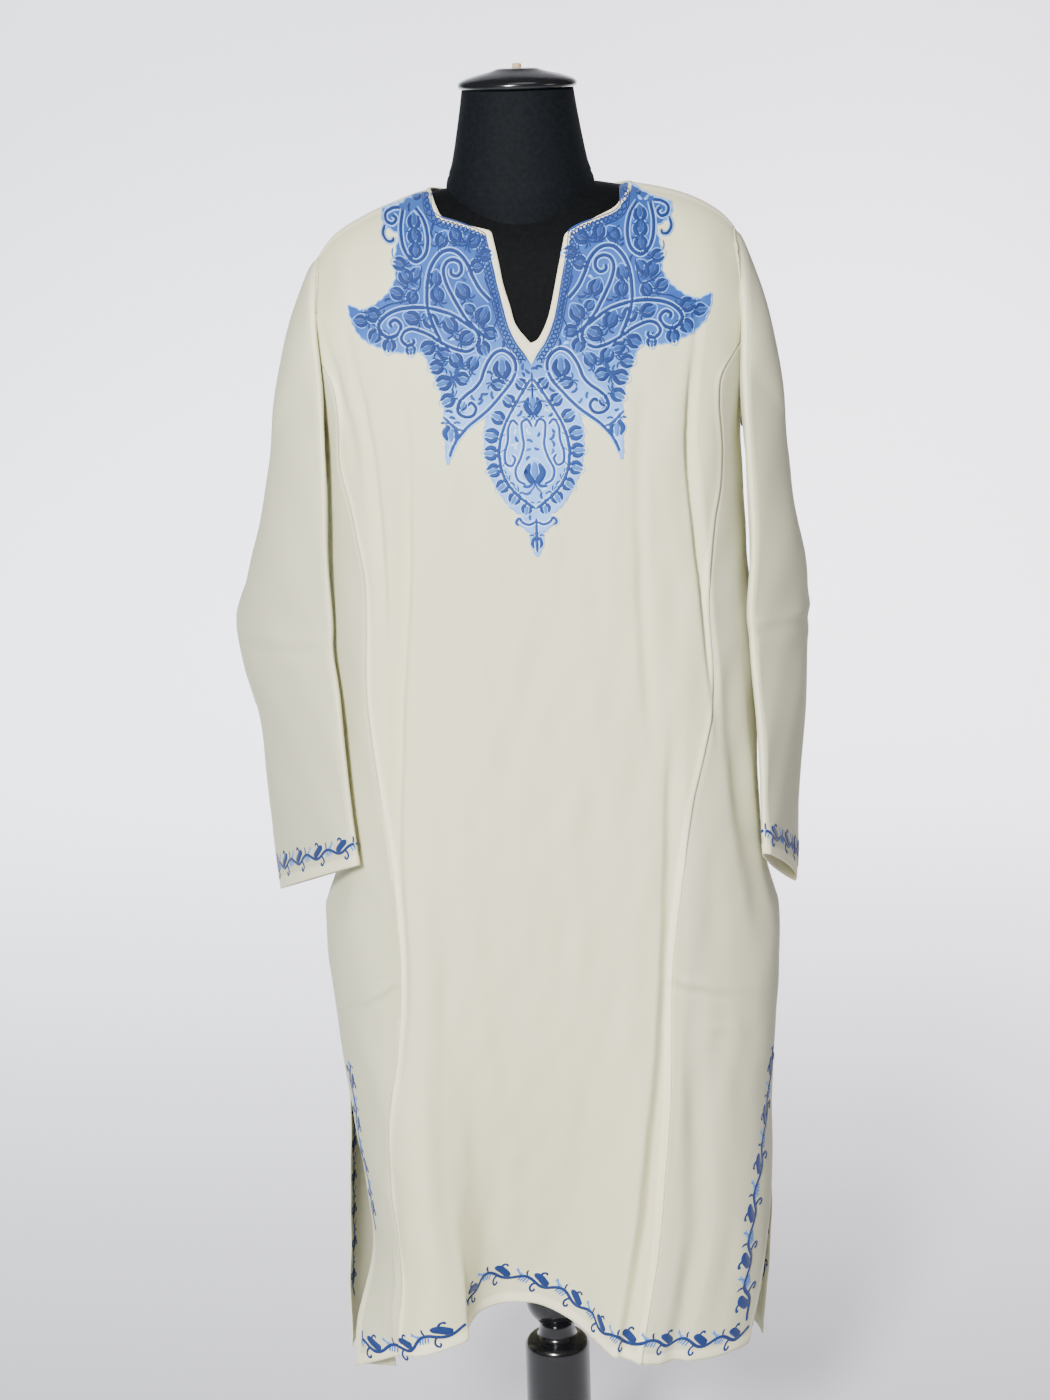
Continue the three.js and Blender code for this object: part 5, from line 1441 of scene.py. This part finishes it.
# Small leaves fill what the other strokes leave.
def fillerLeaves(strokes, seed):
    fill = yoke["fillers"]
    polygon = np.concatenate([sideOutline("outline"), sideOutline("neck")[::-1]])
    taken = np.concatenate([line["path"] for line in strokes])
    buds = [(x, y) for x, y, _, _ in yoke["buds"]]
    placed, leaves = [], []
    for _ in range(fill["tries"]):
        x, y = seed.uniform(*fill["across"]), seed.uniform(*fill["up"])
        if not insideOutline(polygon, x, y):
            continue
        if gapTo(taken, x, y) < fill["clear"] or gapTo(buds, x, y) < fill["budClear"]:
            continue
        if placed and gapTo(placed, x, y) < fill["apart"]:
            continue
        placed.append((x, y))
        angle, length = seed.uniform(0, 2 * math.pi), seed.uniform(*fill["length"]) / 2
        cosine, sine, bend = math.cos(angle) * length, math.sin(angle) * length, seed.choice(fill["bends"])
        points = [(x - cosine, y - sine), (x - sine * bend, y + cosine * bend), (x + cosine, y + sine)]
        shade = seed.choice(fill["shades"])
        leaves.append(stroke(points, fill["width"], shade, yoke["lift"], 0.6, (1.0, 3.0), spacing=1.4))
    return leaves


def yokeStrokes(seed):
    strokes = yokeMotifs() + neckBraid()
    strokes += fillerLeaves(strokes, seed)
    for line in strokes:
        # the thread gets lighter down the yoke
        line["shade"] += 0.26 * float(smoothStep(1320, 1200, line["path"][:, 1].mean())) - 0.1
    return strokes


buildYokeGround()
seed = random.Random(19)
for hand, sign in (("left", -1), ("right", 1)):
    sideStrokes = yokeStrokes(seed)
    print(hand, "yoke lines", len(sideStrokes))
    layStrokes(f"yoke_threads_{hand}", mirrored(sideStrokes, sign), onYoke, blueWool)
print("yoke embroidered")


# The vine along hems, slits and cuffs: one repeat, along and away from its line in millimetres.
vine = {
    "repeat": 42, "wave": 3.6, "stem": 3.6,
    "motif": [
        # a filled leaf lies in each dip of the stem and joins it beyond
        (8.0, 0.05, 1.0, (8, 4), [(8, 8.6), (14, 6.4), (20, 2.8), (26, -1.4)]),
        (2.5, 0.05, 0.9, (2.5, 1.5), [(17, 4.0), (15.4, 8.4), (16.6, 11.8), (19.6, 12.4), (21.2, 9.8)]),
        # a curl hangs below
        (2.5, 0.05, 0.9, (1.5, 1.5), [
            (13, -1.0), (9.6, -4.2), (8.6, -8.8), (11.2, -12), (14, -10), (12.6, -7.6),
        ]),
        # thin paler sprays on both sides of the crest
        (2.1, 0.1, 0.7, (1, 3), [(2, 4.6), (0.6, 8.4), (1.4, 12)]),
        (2.0, 0.72, 0.6, (1, 3), [(-2, 4.6), (-8, 7.2), (-13, 9.6)]),
        (2.0, 0.62, 0.6, (1, 3), [(-5, 3.8), (-9, 8.2), (-11.5, 12)]),
        (1.8, 0.5, 0.6, (1, 2.5), [(-3, 3.4), (-5.2, -0.2), (-6.6, -3.4)]),
        (1.8, 0.62, 0.6, (1, 2.5), [(-0.4, 3.2), (-2.6, -0.8), (-3.8, -4.2)]),
        (1.8, 0.5, 0.6, (1, 2.5), [(2.2, 2.8), (0.2, -1.2), (-0.8, -4.6)]),
        (1.8, 0.62, 0.6, (1, 2.5), [(4.8, 2.0), (3.2, -1.8), (2.4, -5)]),
    ],
}


def vineStrokes(length, scale=1.0, side=1):
    count = max(1, round(length / (vine["repeat"] * scale)))
    step = length / count
    stretch = step / vine["repeat"]
    a = np.linspace(0, length, max(4, round(length / 4)))
    wave = vine["wave"] * scale * np.cos(2 * math.pi * a / step)
    strokes = [stroke(np.column_stack([a, side * wave]), vine["stem"] * scale, 0.02, height=0.7)]
    for i in range(count):
        for width, shade, height, taper, points in vine["motif"]:
            places = [(max(0.5, i * step + along * stretch), side * away * scale) for along, away in points]
            strokes.append(stroke(places, width * scale, shade, 0.0, height * 0.8, taper, spacing=1.5))
    return strokes


# Carries a vine along a line of (q, z) places on one side of the dress; away is to the line's left.
def alongCloth(side, line, inner=False):
    places = np.array(line, dtype=float)
    q, z = places[:, 0], places[:, 1]
    middle = (q[:-1] + q[1:]) / 2, (z[:-1] + z[1:]) / 2
    scale = perUnit(side, *middle)
    steps = np.hypot(np.diff(q) * scale, np.diff(z))
    keys = np.concatenate([[0], np.cumsum(steps)])
    dense = np.linspace(0, keys[-1], 400)
    smoothQ, smoothZ = smoothCurve(keys, q, dense), smoothCurve(keys, z, dense)
    denseScale = perUnit(side, smoothQ, smoothZ)
    wayU, wayV = np.gradient(smoothQ) * denseScale, np.gradient(smoothZ)
    size = np.hypot(wayU, wayV)
    wayU, wayV = wayU / size, wayV / size

    def carry(a, b, lift):
        fields = (smoothQ, smoothZ, denseScale, wayU, wayV)
        atQ, atZ, atScale, atU, atV = (np.interp(a, dense, field) for field in fields)
        q = np.clip(atQ - b * atV / atScale, -0.999, 0.999)
        z = atZ + b * atU
        if inner:
            return onCloth(side, q, z, -(panel["wall"] + lift))[0]
        return onCloth(side, q, z, lift)[0]

    return carry, keys[-1]


# How many millimetres of cloth go to one unit of q.
def perUnit(side, q, z):
    step, span = stepAcross(side, q, z)
    return np.linalg.norm(step, axis=-1) / span


vineLines = {
    "front_hem_left": ("front", False, 1, 1.0, [
        (-0.958, 302), (-0.86, 302), (-0.786, 304), (-0.656, 312), (-0.548, 326), (-0.460, 333),
        (-0.395, 335),
    ]),
    "front_hem": ("front", False, 1, 1.0, [
        (-0.345, 351), (-0.30, 361), (-0.25, 366), (-0.18, 365), (-0.089, 358), (0.006, 350), (0.08, 339),
        (0.14, 328), (0.191, 318), (0.25, 312), (0.33, 309), (0.411, 309), (0.518, 306), (0.610, 304),
        (0.775, 302), (0.955, 300),
    ]),
    "front_slit_left": ("front", False, 1, 1.0, [
        (-0.80, 592), (-0.81, 571), (-0.825, 540), (-0.855, 506), (-0.88, 472), (-0.90, 444), (-0.93, 412),
    ]),
    "front_slit_right": ("front", False, -1, 1.15, [
        (0.87, 585), (0.83, 532), (0.80, 496), (0.765, 460), (0.755, 421), (0.785, 379), (0.855, 336),
        (0.93, 314),
    ]),
    "back_hem": ("back", False, 1, 0.86, [
        (-0.95, 276), (-0.7, 276), (-0.4, 276), (0.0, 276), (0.4, 276), (0.7, 276), (0.95, 276),
    ]),
    "back_slit_left": ("back", False, 1, 0.86, [(-0.93, 590), (-0.93, 450), (-0.93, 360), (-0.93, 305)]),
    "back_slit_right": ("back", False, -1, 0.86, [(0.93, 590), (0.93, 450), (0.93, 360), (0.93, 305)]),
}
# the wrong side shows the same stitches where the slits fall open
reverseLines = {
    "reverse_slit_left": ("back", True, 1, 0.86, [(-0.93, 520), (-0.93, 450), (-0.93, 360), (-0.93, 300)]),
    "reverse_slit_right": ("back", True, -1, 0.86, [(0.93, 520), (0.93, 450), (0.93, 360), (0.93, 300)]),
}

for name, (side, inner, bend, scale, line) in {**vineLines, **reverseLines}.items():
    carry, length = alongCloth(side, line, inner)
    layStrokes(f"vine_{name}", vineStrokes(length, scale, bend), carry, blueWool)
print("hems and slits embroidered")


# Carries a vine round a cuff: along runs from the front ridge over the outer side.
def roundCuff(hand, above):
    ring = sleeveRings - above / sleeve["perRing"]
    degrees = np.linspace(0, 360, 721)
    loop = sleevePoint(hand, ring, degrees) / mm
    keys = runLength(loop)

    def carry(a, b, lift):
        return sleevePoint(hand, ring - b / sleeve["perRing"], np.interp(a, keys, degrees), lift)

    return carry, keys[-1]


cuffVine = {"aboveEdge": 22}
for hand in ("left", "right"):
    carry, length = roundCuff(hand, cuffVine["aboveEdge"])
    layStrokes(f"vine_cuff_{hand}", vineStrokes(length), carry, blueWool)
print("cuffs embroidered")


# What each cloth was cut to in metres, with its whole area, what it hangs on, and the pieces worked on it.
cuts = {
    "front_panel_cloth": (0.44, 1.17, 0.355, "form_torso", [
        "neck_binding_strip", "yoke_ground", "yoke_threads_left", "yoke_threads_right",
        "vine_front_hem", "vine_front_hem_left",
    ]),
    "back_panel_cloth": (0.44, 1.18, 0.39, "form_torso", ["vine_back_hem"]),
}
for (side, hand), cut in gore["cuts"].items():
    worked = [f"vine_{side}_slit_{hand}"] + ([f"vine_reverse_slit_{hand}"] if side == "back" else [])
    cuts[f"{side}_gore_{hand}_cloth"] = (*cut, f"{side}_panel_cloth", worked)
for hand, cut in sleeve["cuts"].items():
    cuts[f"sleeve_{hand}_cloth"] = (*cut, "front_panel_cloth", [f"vine_cuff_{hand}"])
for name, (width, length, area, under, worked) in cuts.items():
    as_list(worked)


# The dress form: a padded torso under black jersey, with a short neck.
form = {
    "half": 170, "clearance": 3.2, "foot": 690, "square": 0.36, "columns": 60, "rows": 90,
    "coverSeam": {"x": 8, "wide": 1.2, "deep": 0.6}, "neckSeam": {"z": 1427, "wide": 1.3, "deep": 0.9},
    "neckFlatten": 0.95, "neckBack": 2,
}


def seamDip(name, away):
    # a cover's seam is pulled in a little
    return form[name]["deep"] * np.exp(-(away / form[name]["wide"]) ** 2)


def torsoPlace(side):
    def place(s, t):
        angle = (s - 0.5) * math.pi
        topX = form["half"] * np.sin(angle) + dress["centreX"]
        topZ = shoulderHeight(topX) - form["clearance"]
        z = blend(topZ, form["foot"], t ** 1.6)
        x = readColumn(formRows, "half", z) * np.sin(angle) + dress["centreX"]
        fullness = 1 + form["square"] * np.sin(angle) ** 2
        depth = readColumn(formRows, side, z) * np.cos(angle) * fullness * shoulderRoll(side, topZ - z)
        seam = seamDip("coverSeam", x - form["coverSeam"]["x"])
        depth = depth - seam * (depth > 20)
        return np.stack([x * mm + standX, (-depth if side == "front" else depth) * mm, z * mm], axis=-1)

    return place


def buildTorso():
    bm = bmesh.new()
    layGrid(bm, form["columns"], form["rows"], torsoPlace("front"), (0.5, 0.8))
    back = layGrid(bm, form["columns"], form["rows"], torsoPlace("back"), (0.5, 0.8))
    bmesh.ops.reverse_faces(bm, faces=back)
    bmesh.ops.remove_doubles(bm, verts=bm.verts, dist=0.0001)
    bmesh.ops.holes_fill(bm, edges=[edge for edge in bm.edges if edge.is_boundary], sides=0)
    bmesh.ops.recalc_face_normals(bm, faces=bm.faces)
    piece = makePiece("torso_cover", bm, shadedTorsoJersey)
    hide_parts("form_torso")


# Turned pieces: (radius, height) from the foot up, spun round the pole's axis.
def spin(name, profile, material, steps, flatten=1.0, back=0.0):
    bm = bmesh.new()
    verts = [bm.verts.new((radius * mm, 0, z * mm)) for radius, z in profile]
    edges = [bm.edges.new(pair) for pair in zip(verts, verts[1:])]
    bmesh.ops.spin(
        bm, geom=verts + edges, cent=(0, 0, 0), axis=(0, 0, 1), dvec=(0, 0, 0), angle=2 * math.pi,
        steps=steps, use_merge=True,
    )
    bmesh.ops.remove_doubles(bm, verts=bm.verts, dist=0.00002)
    bmesh.ops.recalc_face_normals(bm, faces=bm.faces)
    place = Matrix.Translation((standX, back * mm, 0)) @ Matrix.Scale(flatten, 4, (0, 1, 0))
    bmesh.ops.transform(bm, matrix=place, verts=bm.verts)
    return makePiece(name, bm, material)


def roundOver(start, end, centre, count):
    # a quarter round between two profile points, swung about a centre
    places = []
    for i in range(count + 1):
        angle = blend(start, end, i / count)
        places.append((centre[0] + centre[2] * math.cos(angle), centre[1] + centre[2] * math.sin(angle)))
    return places


def buildNeck():
    heights = np.linspace(neckProfile["z"][-1], neckProfile["z"][0], 60)
    radii = readColumn(neckProfile, "radius", heights)
    # the neck's cover is seamed to the body's cover low down, and gathered over the cap's edge
    radii = radii - seamDip("neckSeam", heights - form["neckSeam"]["z"])
    profile = [(0, heights[0]), *zip(radii, heights), (0, heights[-1])]
    piece = spin("neck_cover", profile, neckJersey, 80, form["neckFlatten"], form["neckBack"])
    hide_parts("form_torso")


neckCap = {"foot": 1502.3, "rim": 54, "top": 1520, "topRadius": 20}


def buildCap():
    foot, rim, top, topRadius = neckCap.values()
    profile = [
        (0, foot), (rim - 5, foot), (rim - 2, foot + 0.4), (rim - 0.6, foot + 1.4), (rim, foot + 3.2),
        (rim - 0.2, foot + 4.8), (rim - 1.2, foot + 6.4), (rim - 3.5, foot + 7.9), (rim - 8, foot + 9.8),
        (rim - 16, foot + 12.2), (rim - 24, foot + 14.0), (rim - 30, foot + 15.4),
        (topRadius, top - 1), (topRadius - 2, top - 0.3), (topRadius - 6, top), (0, top),
    ]
    piece = spin("neck_cap_gloss", profile, capLacquer, 96, 1.0, form["neckBack"])
    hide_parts("neck_cap")


peg = {"radius": 4, "foot": 1520.3, "top": 1524.3}


def buildPeg():
    radius, foot, top = peg.values()
    profile = [(0, foot), (radius - 0.3, foot), (radius, foot + 0.3), (radius, top - 1.2)]
    profile += [(radius - 0.2, top - 0.6), (radius - 0.8, top - 0.1), (radius - 1.4, top), (0, top)]
    piece = spin("beech_peg", profile, beech, 32, 1.0, form["neckBack"])
    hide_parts("cap_peg")


post = {
    "foot": 28.3, "top": 689.7, "footRadius": 37, "column": 33, "columnTop": 257,
    "ball": 31, "ballHeight": 302, "pole": 14, "flange": 34,
}


def buildPost():
    foot, top, footRadius, column, columnTop, ball, ballHeight, pole, flange = post.values()
    profile = [(0, foot), (footRadius - 1, foot), (footRadius, foot + 1), (footRadius, foot + 6)]
    profile.append((footRadius - 1, foot + 8))
    profile += roundOver(math.radians(-90), math.radians(-180), (column + 3.0, foot + 12, 3.0), 5)
    profile += roundOver(0, math.radians(75), (column - 9, columnTop - 9, 9), 8)
    # a narrow throat under the ball
    profile += [(22, columnTop + 0.6), (19.5, columnTop + 2.4), (18.2, columnTop + 5.5)]
    profile += [(18, columnTop + 9), (18, columnTop + 13)]
    start = -math.acos(min(1, 18.2 / ball))
    profile += roundOver(start, math.radians(62), (0, ballHeight, ball), 26)
    profile += [(pole, ballHeight + ball + 1), (pole, top - 14), (pole + 2, top - 11)]
    profile += [(flange - 1, top - 6.5), (flange, top - 5.5), (flange, top - 0.8)]
    profile += [(flange - 0.8, top), (0, top)]
    piece = spin("lacquered_post", profile, standLacquer, 96)
    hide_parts("post")


base = {"radius": 170, "height": 28, "shoulder": 150, "crown": 70}


def buildBase():
    radius, height, shoulder, crown = base.values()
    profile = [(0, 0), (radius - 3, 0), (radius - 1, 1), (radius, 3.5), (radius - 0.3, 7)]
    profile += [(radius - 2, 11.5), (radius - 6, 14.6), (radius - 12, 17.4), (shoulder, 20)]
    profile += [(135, 21.9), (115, 24.2)]
    profile += [(90, 26.5), (crown, 27.7), (60, height), (0, height)]
    piece = spin("round_base", profile, standLacquer, 120)
    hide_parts("base")


buildTorso()
buildNeck()
buildCap()
buildPeg()
buildPost()
buildBase()
print("form and stand built")


# A pale sweep of seamless paper: floor, curve and wall in one, with a painted tint of light across it,
# bluer grey on the left and lighter lilac on the right.
sweep = {
    "width": 11.0, "front": -6.0, "curveStart": 3.2, "curveRadius": 1.5, "top": 5.0,
    "columns": 24, "rows": 96, "left": "#b8bcc0", "right": "#c4c0c6",
    "lightTintSpan": 1.3,  # the painted light tint changes over this far to each side of the middle
}


def sweepPlace(s, t):
    flatLength, radius = sweep["curveStart"] - sweep["front"], sweep["curveRadius"]
    bend = radius * math.pi / 2
    total = flatLength + bend + sweep["top"] - radius
    along = (1 - t) * total
    angle = np.clip((along - flatLength) / radius, 0, math.pi / 2)
    rise = np.maximum(0, along - flatLength - bend)
    y = sweep["front"] + np.minimum(along, flatLength) + radius * np.sin(angle)
    z = radius * (1 - np.cos(angle)) + rise
    return np.stack([(s - 0.5) * sweep["width"], y, z], axis=-1)


# Matt seamless paper, with no shine of its own, and a painted tint of light from side to side.
def makePaper():
    material, tree, surface = newMaterial("matt studio paper with painted light tint")
    place = addNode(tree, "TexCoord").outputs["Object"]
    x = addNode(tree, "SeparateXYZ", {"Vector": place}).outputs["X"]
    span = {"Value": x, "From Min": -sweep["lightTintSpan"], "From Max": sweep["lightTintSpan"]}
    across = addNode(tree, "MapRange", span).outputs["Result"]
    # painted tint of light across the paper
    tone = addNode(tree, "ValToRGB", {"Fac": across}, [(0.0, sweep["left"]), (1.0, sweep["right"])])
    setInputs(tree, surface, {
        "Base Color": tone.outputs["Color"], "Roughness": 0.95, "Specular IOR Level": 0.1,
    })
    return material


def buildSweep():
    bm = bmesh.new()
    layGrid(bm, sweep["columns"], sweep["rows"], sweepPlace, (1, 1))
    bmesh.ops.recalc_face_normals(bm, faces=bm.faces)
    if sum(face.normal.z for face in bm.faces) < 0:
        bmesh.ops.reverse_faces(bm, faces=bm.faces)
    makeObject("studio_sweep", bm, makePaper())


buildSweep()
print("backdrop built")


# Soft studio light: a key from the front left, a trace of warm light from the right, one overhead, two
# washes on the wall, and light bounced from the room. Each has its place, what it faces, its size in
# metres, its watts, its spread in degrees and its colour.
lights = {
    "key": ((-0.95, -3.3, 2.5), (0.0, 0, 0.85), 0.7, 350, 180, (1.0, 0.985, 0.965)),
    "side": ((2.6, -1.2, 1.8), (0, 0, 1.0), 1.2, 4, 120, (1.0, 0.88, 0.86)),
    "over": ((0.3, -0.9, 3.7), (0, 0.1, 1.0), 1.6, 14, 180, (1.0, 1.0, 1.0)),
    "back left": ((-1.5, 2.6, 3.4), (-1.2, 3.6, 0.0), 2.4, 260, 118, (0.96, 0.98, 1.0)),
    "back right": ((1.5, 2.6, 3.4), (1.2, 3.6, 0.0), 2.4, 270, 118, (1.0, 0.975, 1.0)),
}
room = {"color": "#e8eef0", "strength": 0.09}

for name, (place, faces, size, watts, spread, color) in lights.items():
    data = bpy.data.lights.new(name, "AREA")
    data.shape = "DISK"
    data.size = size
    data.energy = watts
    data.color = color
    data.spread = math.radians(spread)
    lamp = bpy.data.objects.new(name, data)
    bpy.context.collection.objects.link(lamp)
    lamp.location = place
    lamp.rotation_euler = (Vector(faces) - Vector(place)).to_track_quat("-Z", "Y").to_euler()
world = bpy.data.worlds.new("room")
world.use_nodes = True
background = world.node_tree.nodes["Background"]
background.inputs["Color"].default_value = srgb(room["color"])
background.inputs["Strength"].default_value = room["strength"]
bpy.context.scene.world = world
print("lights placed")
